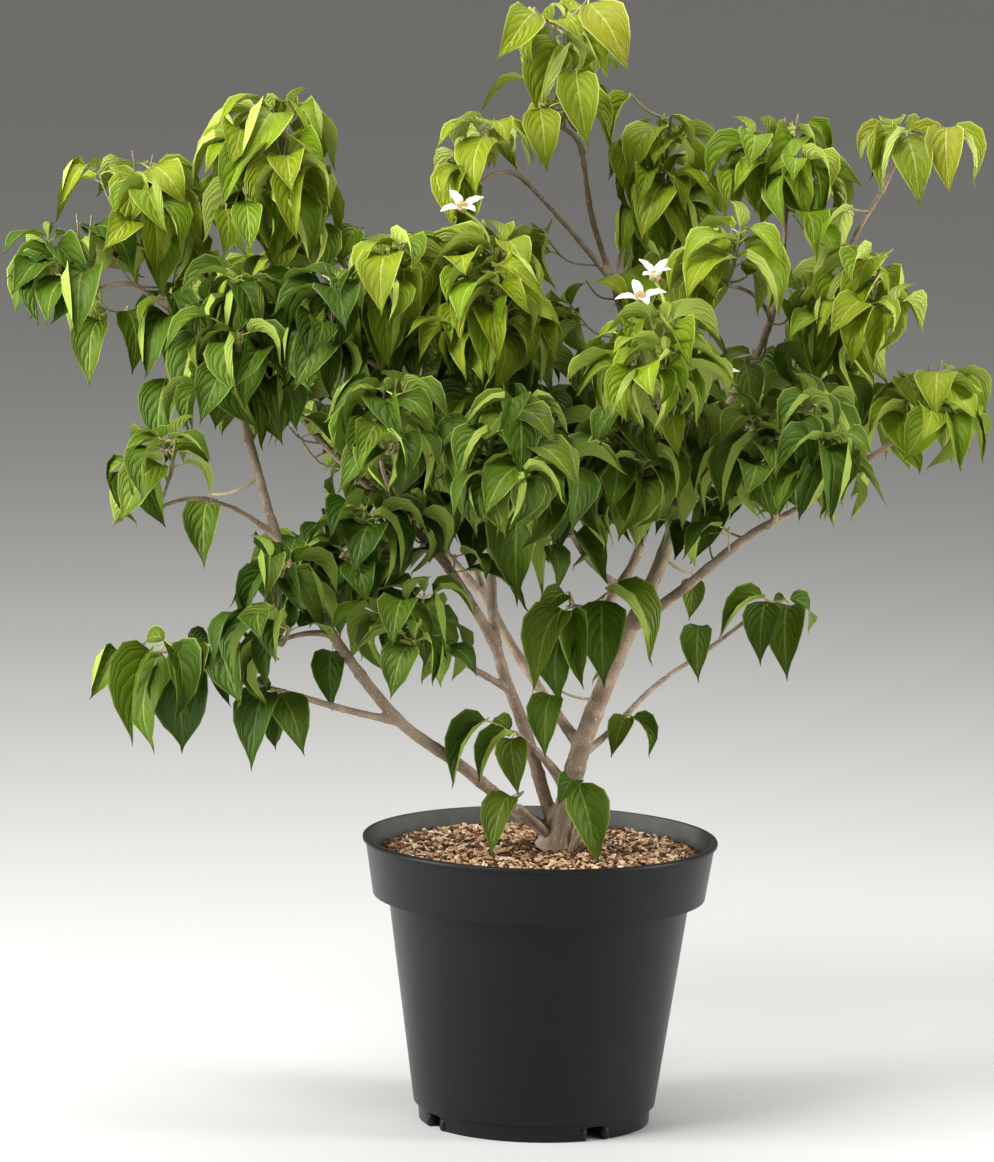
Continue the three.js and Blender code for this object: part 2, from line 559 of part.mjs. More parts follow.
// A leaf that would leave its space, or touch a limb, a twig or another leaf, hangs steeper, shorter and
// turned, or is skipped.
function fittedLeaf(leaf, space, obstacles, taken) {
  for (let attempt = 0; attempt < RETRY.times; attempt += 1) {
    const turned = leaf.azimuth + RETRY.turned * attempt * (attempt % 2 ? 1 : -1);
    const { along, up } = leafDirections(turned, leaf.droop + RETRY.steeper * attempt, leaf.roll);
    const length = leaf.length * RETRY.shorter ** attempt;
    const { corners, geometry } = leafGeometry(leaf.foot, along, up, length, LEAF.width);
    const fits = corners.every((corner) => insideSpace(space, corner))
      && clearOf(obstacles, leafSamples(corners), CLEAR_OF_LIMB);
    if (!fits) continue;
    const pastStalk = length * LEAF.stalkShare;
    const blade = solidOf(leafGeometry(leaf.foot, along, up, length, LEAF.width, pastStalk).geometry);
    if (taken.some((other) => !blade.intersect(other).isEmpty())) continue;
    taken.push(blade);
    return solidOf(geometry);
  }
  return null;
}

// A shoot: a twig that rises to its tip. The first one carries the stem on, and the others leave it.
function growShoot(row, k, stem, draw) {
  const tip = shootTip(row, k, row.shoots, draw);
  const [before, hub] = stem.line.slice(-2);
  const branch = hub.clone().lerp(before, Math.min(0.9, SHOOT.apart * k / hub.distanceTo(before)));
  const turn = draw() * TAU;
  const back = new THREE.Vector3(-Math.cos(turn), -Math.sin(turn), 0);
  const knee = tip.clone().lerp(branch, SHOOT.knee);
  knee.z -= branch.distanceTo(tip) * SHOOT.sag;
  const heading = tip.clone().sub(knee).normalize();
  const ends = [TWIG.shootTip, TWIG.shootTip];
  const tube = k === 0
    ? taperedTube([...stem.line, knee, tip], [...stem.radii, ...ends], TWIG.sides)
    : taperedTube([branch, knee, tip], [TWIG.shootFoot, ...ends], TWIG.sides, back);
  return { k, tip, knee, heading, turn, draw, tube };
}

function growMass(name, index, limbs, stems) {
  const row = MASSES[name];
  const space = { row, planes: partingPlanes(name) };
  const stem = stems[name];
  const otherStems = Object.keys(stems).filter((other) => other !== name).map((other) => stems[other]);
  const obstacles = [...Object.values(limbs), ...otherStems];
  const shoots = [];
  for (let k = 0; k < row.shoots; k += 1) {
    const shoot = growShoot(row, k, stem, seededDraws(index * 100 + (row.seed ?? 0) + k + 1));
    const clear = clearOf(obstacles, [shoot.tip, shoot.knee], TWIG.shootFoot + CLEAR_OF_LIMB);
    if (clear && insideSpace(space, shoot.tip, 2)) shoots.push(shoot);
  }
  const bareStem = shoots[0]?.k === 0 ? [] : [taperedTube(stem.line, stem.radii, TWIG.sides)];
  const parts = [...bareStem, ...shoots.map((shoot) => shoot.tube)].map(solidOf);
  const taken = [...parts];
  for (const shoot of shoots) {
    for (const leaf of whorl(shoot)) {
      const blade = fittedLeaf(leaf, space, obstacles, taken);
      if (blade) parts.push(blade);
    }
    if (shoot.k < (row.blooms ?? 0)) parts.push(...bloomParts(shoot.tip, shoot.draw).map(solidOf));
  }
  let solid = parts.reduce((sum, part) => sum.add(part));
  for (const limb of Object.values(limbs)) solid = solid.subtract(limb.hull);
  return mainBody(solid);
}

// The scene graph: the pot with its soil, the trunk with its boughs, and the crown.
function meshOf(name, geometry, colour, roughness) {
  const finish = new THREE.MeshStandardMaterial({ color: colour, roughness, metalness: 0 });
  const mesh = new THREE.Mesh(geometry, finish);
  mesh.name = name;
  return mesh;
}

const limbs = growLimbs();
const stems = {};
for (const [name, row] of Object.entries(MASSES)) stems[name] = stemLine(row, limbs[row.limb]);

const container = new THREE.Group();
container.add(meshOf('pot', makePot(), COLOURS.pot, 0.45));
container.add(meshOf('potting_soil', makeSoil(), COLOURS.soil, 0.95));

const framework = new THREE.Group();
for (const limb of Object.values(limbs)) {
  framework.add(meshOf(limb.name, geometryOf(limb.solid), COLOURS.bark, 0.85));
}

const crown = new THREE.Group();
Object.keys(MASSES).forEach((name, index) => {
  const solid = growMass(name, index, limbs, stems);
  if (isPinched(solid)) throw new Error(`${name} touches itself along an edge: it needs another seed`);
  crown.add(meshOf(`foliage_${name}`, geometryOf(solid), COLOURS[MASSES[name].green], 0.6));
});

const shrub = new THREE.Group();
shrub.add(container, framework, crown);

export default shrub;
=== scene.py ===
# %% [markdown]
# A flowering dogwood in its nursery pot. The real plant is a young shrub, about 0.9 m high with its
# pot: three thin stems fork low, boughs spread from them, and every shoot ends in an umbrella of long
# pointed leaves that hang. This lesson dresses a finished frame of plain solids with that plant. The
# frame is loaded first, because every piece takes its place and size from it.

# %% Load the frame
import math

import bmesh
import bpy
import numpy as np
from mathutils import Matrix, Vector
from mathutils.bvhtree import BVHTree


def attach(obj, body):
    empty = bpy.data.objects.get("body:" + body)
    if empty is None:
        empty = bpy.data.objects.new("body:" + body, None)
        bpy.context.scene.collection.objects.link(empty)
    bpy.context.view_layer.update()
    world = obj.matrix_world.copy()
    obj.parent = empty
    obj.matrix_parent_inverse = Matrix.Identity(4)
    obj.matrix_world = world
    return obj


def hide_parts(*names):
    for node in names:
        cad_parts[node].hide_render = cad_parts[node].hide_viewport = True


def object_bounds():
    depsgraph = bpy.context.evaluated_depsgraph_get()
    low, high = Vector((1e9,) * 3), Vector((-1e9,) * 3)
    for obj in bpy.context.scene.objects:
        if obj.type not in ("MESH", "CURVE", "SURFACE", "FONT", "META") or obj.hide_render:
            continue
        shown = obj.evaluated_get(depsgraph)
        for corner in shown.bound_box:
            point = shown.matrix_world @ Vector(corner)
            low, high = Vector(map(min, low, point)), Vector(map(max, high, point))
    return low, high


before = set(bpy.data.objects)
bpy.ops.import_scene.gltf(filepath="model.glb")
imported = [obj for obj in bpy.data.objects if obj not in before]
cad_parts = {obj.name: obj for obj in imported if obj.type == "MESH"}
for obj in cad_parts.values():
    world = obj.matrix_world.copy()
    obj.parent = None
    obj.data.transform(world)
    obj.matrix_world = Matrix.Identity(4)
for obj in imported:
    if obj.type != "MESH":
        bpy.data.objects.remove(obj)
bpy.context.view_layer.update()
cad_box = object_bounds()
scene = bpy.context.scene
MM = 0.001


def rounded(box):
    return [[round(x, 3) for x in corner] for corner in box]


print("frame:", len(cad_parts), "solids, box", rounded(cad_box))

# %% [markdown]
# The camera stands where the photographer stood: six metres off, a little above the crown, with a long
# lens, and turned by about a degree. A long lens keeps the pot's rim a slim ellipse. The lens follows
# from the pot's rim, which is 280 mm wide and 355 pixels wide in the picture.

# %% Camera
PICTURE_HEIGHT = 1162
SENSOR = 36
FOCAL_PIXELS = 7735.7
CAMERA_PLACE = Vector((0, -6, 1.3327))
CAMERA_AIM = Vector((-0.03865, 0, 0.42924))
CAMERA_ROLL = math.radians(1.3)

forward = (CAMERA_AIM - CAMERA_PLACE).normalized()
level_right = forward.cross(Vector((0, 0, 1))).normalized()
level_up = level_right.cross(forward)
right = level_right * math.cos(CAMERA_ROLL) + level_up * math.sin(CAMERA_ROLL)
up = level_up * math.cos(CAMERA_ROLL) - level_right * math.sin(CAMERA_ROLL)
bpy.ops.object.camera_add(location=CAMERA_PLACE)
camera = bpy.context.object
camera.name = "camera"
camera.rotation_euler = Matrix((right, up, -forward)).transposed().to_euler()
camera.data.sensor_width = SENSOR
camera.data.lens = FOCAL_PIXELS / PICTURE_HEIGHT * SENSOR
camera.data.clip_end = 200
scene.camera = camera
print("camera: lens", round(camera.data.lens, 1), "mm")

# %% [markdown]
# The studio is a plain pale floor under soft light. One softbox hangs high on the left, a weaker one
# stands on the right, one hangs behind the plant, and two tall ones beside it draw the upright
# highlights on the pot. Each row says a light's place, what it aims at, its size and its power.

# %% Studio
SOFTBOXES = {
    "key": ((-1.5, -1.7, 2.9), (0, 0, 0.5), (1.1, 1.1), 108),
    "fill": ((2.2, -2.4, 1.5), (0, 0, 0.45), (1.6, 1.6), 17),
    "left_strip": ((-1.8, -0.55, 0.6), (0, 0, 0.3), (0.6, 1.7), 66),
    "right_strip": ((1.8, -0.3, 0.6), (0, 0, 0.3), (0.5, 1.7), 42),
    "top": ((0.2, 0.7, 2.7), (0, 0, 0.5), (1.6, 1.6), 54),
}
AIR_COLOUR, AIR_LIGHT = (1, 0.985, 0.94, 1), 0.26

for name, (place, aim, size, power) in SOFTBOXES.items():
    bpy.ops.object.light_add(type="AREA", location=place)
    light = bpy.context.object
    light.name = name
    light.data.shape = "RECTANGLE"
    light.data.size, light.data.size_y = size
    light.data.energy = power
    light.rotation_euler = (Vector(aim) - Vector(place)).to_track_quat("-Z", "Y").to_euler()
world = bpy.data.worlds.new("studio")
world.use_nodes = True
world.node_tree.nodes["Background"].inputs["Color"].default_value = AIR_COLOUR
world.node_tree.nodes["Background"].inputs["Strength"].default_value = AIR_LIGHT
scene.world = world
scene.view_settings.view_transform = "Standard"
print("lights:", len(SOFTBOXES))

# %% [markdown]
# Shader maths reads like maths here. A Wire holds one socket, and adding or multiplying wires adds the
# Math node that does it. Every other node comes from one method of Finish, which sets the node's
# settings first and then feeds its sockets. A colour is written as in a paint program, such as 8fae2b.

# %% Shader helpers
def linear(code):
    """A written colour as the three linear values that shaders want."""
    parts = [int(code[k:k + 2], 16) / 255 for k in (0, 2, 4)]
    return tuple(c / 12.92 if c <= 0.04045 else ((c + 0.055) / 1.055) ** 2.4 for c in parts)


def paint(colour):
    """A colour as a node wants it: a wire as it is, a written or linear colour with its alpha."""
    if isinstance(colour, Wire):
        return colour
    return (*(linear(colour) if isinstance(colour, str) else colour), 1)


def maths_operator(operation, turned=False):
    """A Python operator that adds the Math node of that name, with its two values turned round or not."""
    def operate(self, other):
        return self.maths(operation, *((other, self) if turned else (self, other)))
    return operate


class Wire:
    """A socket that carries a value, so that it can be added, multiplied and compared."""

    def __init__(self, finish, socket):
        self.finish = finish
        self.socket = socket

    def maths(self, operation, *values):
        feeds = {place: value for place, value in enumerate(values)}
        return self.finish.node("ShaderNodeMath", {"operation": operation}, feeds)

    __add__ = __radd__ = maths_operator("ADD")
    __mul__ = __rmul__ = maths_operator("MULTIPLY")
    __sub__ = maths_operator("SUBTRACT")
    __rsub__ = maths_operator("SUBTRACT", turned=True)
    __truediv__ = maths_operator("DIVIDE")
    __pow__ = maths_operator("POWER")

    def size(self):
        return self.maths("ABSOLUTE", self)

    def fraction(self):
        return self.maths("FRACT", self)

    def below(self, edge, softness):
        """1 where the value is well below the edge, 0 above it, with a soft step between."""
        span = {0: self, 1: edge - softness, 2: edge + softness, 3: 1, 4: 0}
        return self.finish.node("ShaderNodeMapRange", {"interpolation_type": "SMOOTHSTEP"}, span)


class Finish:
    """A material in the making."""

    def __init__(self, name):
        self.material = bpy.data.materials.new(name)
        self.material.use_nodes = True
        self.tree = self.material.node_tree
        self.tree.nodes.clear()

    def node(self, kind, settings=None, feeds=None, output=0):
        made = self.tree.nodes.new(kind)
        for name, value in (settings or {}).items():
            setattr(made, name, value)
        for place, value in (feeds or {}).items():
            if isinstance(value, Wire):
                self.tree.links.new(value.socket, made.inputs[place])
            else:
                made.inputs[place].default_value = value
        return Wire(self, made.outputs[output])

    def noise(self, scale, detail=3, where=None):
        place = where or self.node("ShaderNodeTexCoord", output="Object")
        feeds = {"Vector": place, "Scale": scale, "Detail": detail}
        return self.node("ShaderNodeTexNoise", feeds=feeds)

    def blend(self, share, first, second):
        """A colour between two, by the share. On a colour's Mix node these sockets are 0, 6 and 7."""
        feeds = {0: share, 6: paint(first), 7: paint(second)}
        return self.node("ShaderNodeMix", {"data_type": "RGBA"}, feeds, output=2)

    def two_tones(self, share, code, dark, light):
        """From a darker to a lighter shade of one written colour, by the share."""
        base = linear(code)
        return self.blend(share, tuple(c * dark for c in base), tuple(min(1, c * light) for c in base))

    def ramp(self, value, stops):
        """Written colours, each at its place along a value."""
        made = self.node("ShaderNodeValToRGB", feeds={0: value})
        elements = made.socket.node.color_ramp.elements
        while len(elements) < len(stops):
            elements.new(1)
        for element, (place, code) in zip(elements, stops):
            element.position = place
            element.color = paint(code)
        return made

    def bump(self, height, distance, strength):
        """Relief, with its depth in millimetres."""
        feeds = {"Strength": strength, "Distance": distance * MM, "Height": height}
        return self.node("ShaderNodeBump", feeds=feeds)

    def skin(self, colour, roughness, relief=None, specular=None):
        """The surface shader. The specular level is one number for the whole surface."""
        feeds = {"Base Color": colour, "Roughness": roughness}
        if relief:
            feeds["Normal"] = relief
        if specular:
            feeds["Specular IOR Level"] = specular
        return self.node("ShaderNodeBsdfPrincipled", feeds=feeds)

    def finish(self, shader):
        output = self.tree.nodes.new("ShaderNodeOutputMaterial")
        self.tree.links.new(shader.socket, output.inputs["Surface"])
        return self.material


# %% [markdown]
# The floor is a plain pale paint with the faintest cloudiness. It is far wider than the view, so that no
# edge of it shows.

# %% The floor
FLOOR_SIZE = 120
floor_finish = Finish("floor_paint")
floor_colour = floor_finish.blend(floor_finish.noise(0.6), (0.5, 0.5, 0.49), (0.54, 0.54, 0.53))


def deselect():
    bpy.ops.object.select_all(action="DESELECT")


deselect()
bpy.ops.mesh.primitive_plane_add(size=FLOOR_SIZE, location=(0, 0, 0))
floor = bpy.context.object
floor.name = "floor"
floor.data.materials.append(floor_finish.finish(floor_finish.skin(floor_colour, 0.8)))
print("floor:", FLOOR_SIZE, "m wide")

# %% [markdown]
# Sizes. These rows are the plant's own plan, in millimetres. Each limb names its parent and the height
# where it leaves it, its radius at foot and tip, and the points that it passes. Each mass of foliage
# names the limb that carries it, the middle and half sizes of its space, how many shoots the plain
# solid has there, and its green.

# %% The plan of the plant
SOIL_TOP = 217
LIMBS = {
    "trunk": (None, None, (9, 5), [
        (12, -2, 217.3), (18, -6, 245), (32, -10, 305), (63, -14, 388), (85, -4, 436), (111, 20, 510)]),
    "stem_middle": ("trunk", 228, (5.6, 2.6), [
        (3, 0, 258), (-13, -8, 310), (-37, -12, 376), (-44, 4, 450), (-45, -14, 560), (-37, -68, 632)]),
    "stem_left": ("trunk", 226, (5.4, 3.4), [
        (-20, -8, 249), (-64, -30, 287), (-111, -52, 324), (-160, -72, 388), (-205, -66, 460),
        (-234, -48, 545)]),
    "leader": ("trunk", 352, (4.4, 2.2), [
        (47, 4, 405), (70, 34, 445), (80, 44, 490), (74, 50, 560), (48, 54, 657), (30, 60, 708),
        (20, 46, 765)]),
    "bough_low_back": ("trunk", 300, (4.6, 2.6), [
        (0, 24, 336), (-38, 62, 389), (-62, 118, 440), (-52, 172, 460)]),
    "bough_low_right": ("trunk", 290, (3, 1.9), [(54, 22, 309), (88, 52, 340), (128, 74, 366)]),
    "bough_low_left": ("stem_left", 324, (3.2, 2), [
        (-150, -70, 335), (-208, -98, 355), (-250, -110, 366)]),
    "bough_right": ("trunk", 396, (4.6, 2.4), [
        (107, -36, 432), (158, -62, 480), (203, -60, 506), (248, -54, 540)]),
    "bough_low_front": ("stem_middle", 345, (2.8, 1.9), [(-63, -36, 370), (-84, -78, 398)]),
    "bough_long_left": ("stem_middle", 380, (4.2, 2.1), [
        (-82, -50, 453), (-125, -42, 495), (-171, -25, 533), (-219, 8, 579), (-274, 0, 620),
        (-322, -10, 655)]),
    "bough_centre": ("leader", 424, (2.8, 1.9), [(32, -6, 449), (8, -62, 496), (-14, -138, 540)]),
    "bough_front": ("trunk", 468, (3, 1.9), [(96, -24, 514), (92, -82, 556), (82, -134, 592)]),
    "bough_upper_right": ("trunk", 506, (4, 2), [
        (133, 18, 559), (160, 8, 610), (176, 0, 665), (180, 4, 728)]),
    "bough_far_right": ("trunk", 496, (3.8, 2), [
        (157, 2, 533), (196, -12, 566), (216, -18, 632), (230, -16, 700), (254, -14, 746)]),
    "bough_top_left": ("leader", 662, (2.5, 1.8), [(12, 40, 703), (-24, 20, 743)]),
    "bough_top_right": ("leader", 648, (2.6, 1.8), [(54, 62, 686), (72, 64, 716)]),
    "bough_left_up": ("stem_middle", 452, (3.2, 2), [
        (-86, 18, 548), (-132, 12, 627), (-178, 4, 696), (-198, 0, 722)]),
    "bough_left_outer": ("bough_long_left", 640, (2.3, 1.7), [(-306, 6, 668), (-318, 10, 688)]),
    "bough_left_low": ("stem_left", 470, (2.7, 1.8), [(-242, -75, 492), (-262, -84, 500)]),
    "bough_back_left": ("bough_low_back", 400, (3.4, 2), [
        (-110, 98, 470), (-170, 144, 532), (-215, 176, 574)]),
    "bough_back_right": ("trunk", 480, (3.4, 2), [(140, 64, 530), (180, 118, 568), (206, 150, 592)]),
    "bough_back_top": ("bough_low_back", 425, (3.2, 2), [
        (-66, 122, 500), (-70, 144, 556), (-66, 162, 594)]),
}
MASSES = {
    "top_leader": ("leader", None, (-6, 22, 812), (64, 59, 81), 4, "lime"),
    "top_left": ("bough_top_left", None, (-60, -26, 760), (48, 55, 57), 2, "lime"),
    "top_right": ("bough_top_right", None, (80, 58, 745), (55, 59, 73), 3, "fresh"),
    "upper_right": ("bough_upper_right", None, (178, 10, 766), (70, 62, 57), 3, "fresh"),
    "far_right_top": ("bough_far_right", None, (275, -20, 771), (66, 59, 48), 2, "lime"),
    "right_shoulder": ("bough_far_right", 632, (240, -52, 662), (68, 68, 59), 3, "fresh"),
    "right_inner": ("bough_upper_right", 640, (134, -84, 692), (52, 54, 54), 2, "fresh"),
    "right_edge": ("bough_right", None, (290, -50, 586), (64, 64, 55), 3, "fresh"),
    "right_low": ("bough_right", 490, (186, -118, 555), (86, 70, 59), 4, "green"),
    "dome": ("bough_front", None, (74, -166, 628), (68, 73, 51), 4, "fresh"),
    "dome_low": ("bough_front", 516, (64, -100, 546), (64, 64, 59), 3, "green"),
    "centre_top": ("stem_middle", None, (-48, -100, 664), (66, 68, 66), 4, "fresh"),
    "centre_left": ("bough_left_up", 610, (-128, -92, 674), (58, 60, 56), 2, "fresh"),
    "centre_front": ("bough_centre", None, (-34, -186, 556), (62, 68, 62), 3, "green"),
    "left_front": ("bough_long_left", 480, (-128, -172, 571), (59, 68, 51), 3, "green"),
    "left_top": ("bough_left_up", None, (-222, 0, 749), (77, 68, 73), 4, "fresh"),
    "left_outer": ("bough_left_outer", None, (-330, 10, 722), (77, 66, 59), 4, "fresh"),
    "far_left": ("bough_long_left", None, (-370, -10, 664), (73, 66, 72), 4, "green"),
    "left_inner": ("stem_left", None, (-246, -44, 616), (73, 73, 77), 4, "green"),
    "left_inner_right": ("bough_left_up", 560, (-172, -104, 644), (46, 57, 57), 2, "deep"),
    "left_low": ("bough_left_low", None, (-300, -108, 514), (66, 66, 62), 3, "green"),
    "low_left_mid": ("stem_left", 395, (-214, -128, 414), (66, 66, 73), 3, "deep"),
    "left_centre_low": ("bough_long_left", 460, (-142, -84, 466), (54, 54, 56), 2, "deep"),
    "far_low_left": ("bough_low_left", None, (-300, -116, 366), (75, 66, 57), 3, "deep"),
    "low_left_small": ("bough_low_left", 349, (-198, -108, 336), (50, 54, 52), 2, "deep"),
    "low_front": ("bough_low_front", None, (-104, -118, 404), (66, 64, 53), 3, "deep"),
    "low_centre": ("leader", 395, (28, -72, 395), (59, 55, 55), 2, "deep"),
    "basal_shoots": ("trunk", 262, (4, -44, 278), (86, 66, 79), 3, "deep"),
    "low_right": ("bough_low_right", None, (162, 86, 384), (60, 60, 52), 3, "deep"),
    "back_high": ("leader", 610, (86, 150, 676), (57, 66, 59), 3, "fresh"),
    "back_centre": ("bough_back_top", None, (-66, 172, 632), (68, 68, 62), 4, "fresh"),
    "back_left": ("bough_back_left", None, (-244, 190, 608), (70, 68, 66), 4, "fresh"),
    "back_left_low": ("bough_back_left", 470, (-178, 150, 420), (62, 64, 59), 3, "deep"),
    "back_right": ("bough_back_right", None, (222, 168, 620), (68, 68, 59), 4, "fresh"),
    "back_low": ("bough_low_back", None, (-36, 222, 498), (68, 64, 59), 3, "green"),
    "back_mid": ("bough_back_right", 540, (86, 206, 556), (66, 66, 57), 3, "green"),
}
print("plan:", len(LIMBS), "limbs and", len(MASSES), "masses of foliage")

# %% [markdown]
# The growth rule needs three tools: draws that repeat, a smooth line through points, and a way to walk
# along it. Seeded draws are a chain of remainders, so the plant is the same on every run.

# %% Draws and lines
DRAW_RANGE, DRAW_STEP = 2147483647, 16807
SEED_STEP, SEED_START = 7919, 104729
CURVE_STEPS = 16


def seeded_draws(seed):
    state = (seed * SEED_STEP + SEED_START) % DRAW_RANGE

    def draw():
        nonlocal state
        state = state * DRAW_STEP % DRAW_RANGE
        return state / DRAW_RANGE

    draw()
    draw()
    return draw


def lerp(a, b, t):
    return a + (b - a) * t


def unit(v):
    return v / np.linalg.norm(v)


def smooth_line(points, spacing):
    """Points at even steps on the centripetal Catmull-Rom curve through the given points."""
    points = [np.array(p, float) for p in points]
    held = [2 * points[0] - points[1], *points, 2 * points[-1] - points[-2]]
    dense = [points[0]]
    for p0, p1, p2, p3 in zip(held, held[1:], held[2:], held[3:]):
        t1 = np.linalg.norm(p1 - p0) ** 0.5
        t2 = t1 + np.linalg.norm(p2 - p1) ** 0.5
        t3 = t2 + np.linalg.norm(p3 - p2) ** 0.5
        for t in np.linspace(t1, t2, CURVE_STEPS + 1)[1:]:
            a1 = lerp(p0, p1, t / t1)
            a2 = lerp(p1, p2, (t - t1) / (t2 - t1))
            a3 = lerp(p2, p3, (t - t2) / (t3 - t2))
            b1 = lerp(a1, a2, t / t2)
            b2 = lerp(a2, a3, (t - t1) / (t3 - t1))
            dense.append(lerp(b1, b2, (t - t1) / (t2 - t1)))
    return even_steps(np.array(dense), spacing)


def even_steps(line, spacing):
    """The same line with its points at even distances."""
    reach = np.concatenate([[0], np.cumsum(np.linalg.norm(np.diff(line, axis=0), axis=1))])
    steps = max(1, round(reach[-1] / spacing))
    places = np.linspace(0, reach[-1], steps + 1)
    return np.stack([np.interp(places, reach, line[:, k]) for k in range(3)], axis=1)


def axis_at(line, height):
    """The point of a rising line at a height, and its step."""
    for k in range(len(line) - 1):
        low, high = line[k], line[k + 1]
        if low[2] <= height <= high[2]:
            t = (height - low[2]) / (high[2] - low[2])
            return lerp(low, high, t), k + t
    raise ValueError(f"no point at height {height}")


# %% [markdown]
# Bark. A dogwood's young stem is smooth and grey-brown, with a swollen ring wherever a pair of leaves
# once stood and a fat collar at each fork. Each limb is drawn as a curve with its own radius at every
# point, as one would by hand, and is turned into a mesh. The tubes are then joined and remeshed, which
# melts the forks together, and a displacement gives the relief.

# %% Limb lines
LIMB_SPACING = 4
FLARE_EXTRA, FLARE_REACH = 9, 13
COLLAR_SHARE, COLLAR_REACH = 0.45, 9
RING_EVERY, RING_SHARE, RING_WIDTH, RING_SHIFT = 46, 0.13, 2.6, 17


def limb_radii(line, foot, tip, is_trunk, phase):
    """Even taper, a flare at the ground or a collar at the fork, and a ring at every old leaf pair."""
    walked = np.linspace(0, 1, len(line)) * LIMB_SPACING * (len(line) - 1)
    radii = lerp(foot, tip, walked / walked[-1])
    if is_trunk:
        radii = radii + FLARE_EXTRA * np.exp(-(line[:, 2] - SOIL_TOP) / FLARE_REACH)
    else:
        radii = radii * (1 + COLLAR_SHARE * np.exp(-walked / COLLAR_REACH))
    offset = (walked + phase) % RING_EVERY - RING_EVERY / 2
    return radii * (1 + RING_SHARE * np.exp(-(offset / RING_WIDTH) ** 2))


limbs = {}
for order, (name, (parent, height, (foot, tip), via)) in enumerate(LIMBS.items()):
    points = list(via)
    if parent:
        points.insert(0, axis_at(limbs[parent]["line"], height)[0])
    line = smooth_line(points, LIMB_SPACING)
    radii = limb_radii(line, foot, tip, parent is None, order * RING_SHIFT)
    limbs[name] = {"line": line, "radii": radii, "foot": foot, "tip": tip}
limb_points = sum(len(limb["line"]) for limb in limbs.values())
print("limbs:", round(limb_points * LIMB_SPACING * MM, 2), "m long")

# %% Limb meshes
BARK_VOXEL = 1.3


def limb_curve(name, line, radii):
    """A curve with a round section and a radius at each point."""
    curve = bpy.data.curves.new(name, "CURVE")
    curve.dimensions = "3D"
    curve.bevel_depth = MM
    curve.bevel_resolution = 4
    curve.use_fill_caps = True
    spline = curve.splines.new("POLY")
    spline.points.add(len(line) - 1)
    for point, place, radius in zip(spline.points, line * MM, radii):
        point.co = (*place, 1)
        point.radius = radius
    made = bpy.data.objects.new(name, curve)
    scene.collection.objects.link(made)
    return made


def join_all(pieces, name):
    """Makes one mesh of curves or meshes."""
    deselect()
    for piece in pieces:
        piece.select_set(True)
    bpy.context.view_layer.objects.active = pieces[-1]
    bpy.ops.object.convert(target="MESH")
    bpy.ops.object.join()
    joined = bpy.context.object
    joined.name = joined.data.name = name
    return joined


def apply_modifier(piece, kind, **settings):
    """Adds a modifier, sets it and applies it."""
    bpy.context.view_layer.objects.active = piece
    modifier = piece.modifiers.new(kind.lower(), kind)
    for name, value in settings.items():
        setattr(modifier, name, value)
    bpy.ops.object.modifier_apply(modifier=modifier.name)


tubes = [limb_curve(name, limb["line"], limb["radii"]) for name, limb in limbs.items()]
framework = join_all(tubes, "bark_of_trunk_and_boughs")
apply_modifier(framework, "REMESH", mode="VOXEL", voxel_size=BARK_VOXEL * MM)
apply_modifier(framework, "SMOOTH", factor=0.5, iterations=3)
print("framework:", len(framework.data.polygons), "faces after the remesh")

# %% [markdown]
# Relief. Two cloud textures push the skin in and out: a broad one that makes the stems a little lumpy,
# and a fine one for the shallow ridges. The colour then follows its own noise, with pale breathing
# pores scattered over grey-brown.

# %% Bark relief
def displace(piece, name, size, strength, **settings):
    """Pushes the skin in and out by a cloud texture of that size."""
    texture = bpy.data.textures.new(name, "CLOUDS")
    texture.noise_scale = size * MM
    texture.noise_depth = 2
    apply_modifier(piece, "DISPLACE", texture=texture, strength=strength * MM, **settings)


displace(framework, "stem_lumps", 14, 0.9, mid_level=0.5)
displace(framework, "bark_ridges", 3.2, 0.55, mid_level=0.5)
framework.data.shade_smooth()


def bark_finish(name, dark, mid, pale, moss):
    """Bark: mottled browns, pale pores, some moss, and a fine grain that runs up the stem."""
    f = Finish(name)
    place = f.node("ShaderNodeTexCoord", output="Object")
    drawn = f.node("ShaderNodeMapping", feeds={"Vector": place, "Scale": (1, 1, 0.3)})
    mottle = f.noise(70, 4, place)
    grain = f.noise(900, 3, drawn)
    colour = f.ramp(mottle * 0.7 + grain * 0.3, [(0.3, dark), (0.52, mid), (0.72, pale)])
    pores = f.node("ShaderNodeTexVoronoi", feeds={"Vector": place, "Scale": 230}).below(0.2, 0.05)
    colour = f.blend(pores * 0.55, colour, "c3b39f")
    shaded = f.blend(f.noise(16, 2, place).below(0.43, 0.06) * moss, colour, "6d7052")
    relief = grain * 0.7 + mottle * 0.5 + pores * 0.6
    return f.finish(f.skin(shaded, 0.62 + mottle * 0.25, f.bump(relief, 0.5, 0.7), 0.3))


bark = bark_finish("bark", "6b5848", "927e6b", "b3a18c", 0.25)
framework.data.materials.append(bark)
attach(framework, "root")
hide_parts(*LIMBS)
print("framework stands for", len(LIMBS), "solids")

# %% [markdown]
# Joined meshes. A crown has far too many leaves to keep each one an object. One pattern is modelled, and
# its points are then copied by arrays into one big mesh, each copy with its own place, turn and tone. A
# pattern is read once from its mesh.

# %% Copying patterns
def select_only(piece):
    deselect()
    piece.select_set(True)
    bpy.context.view_layer.objects.active = piece


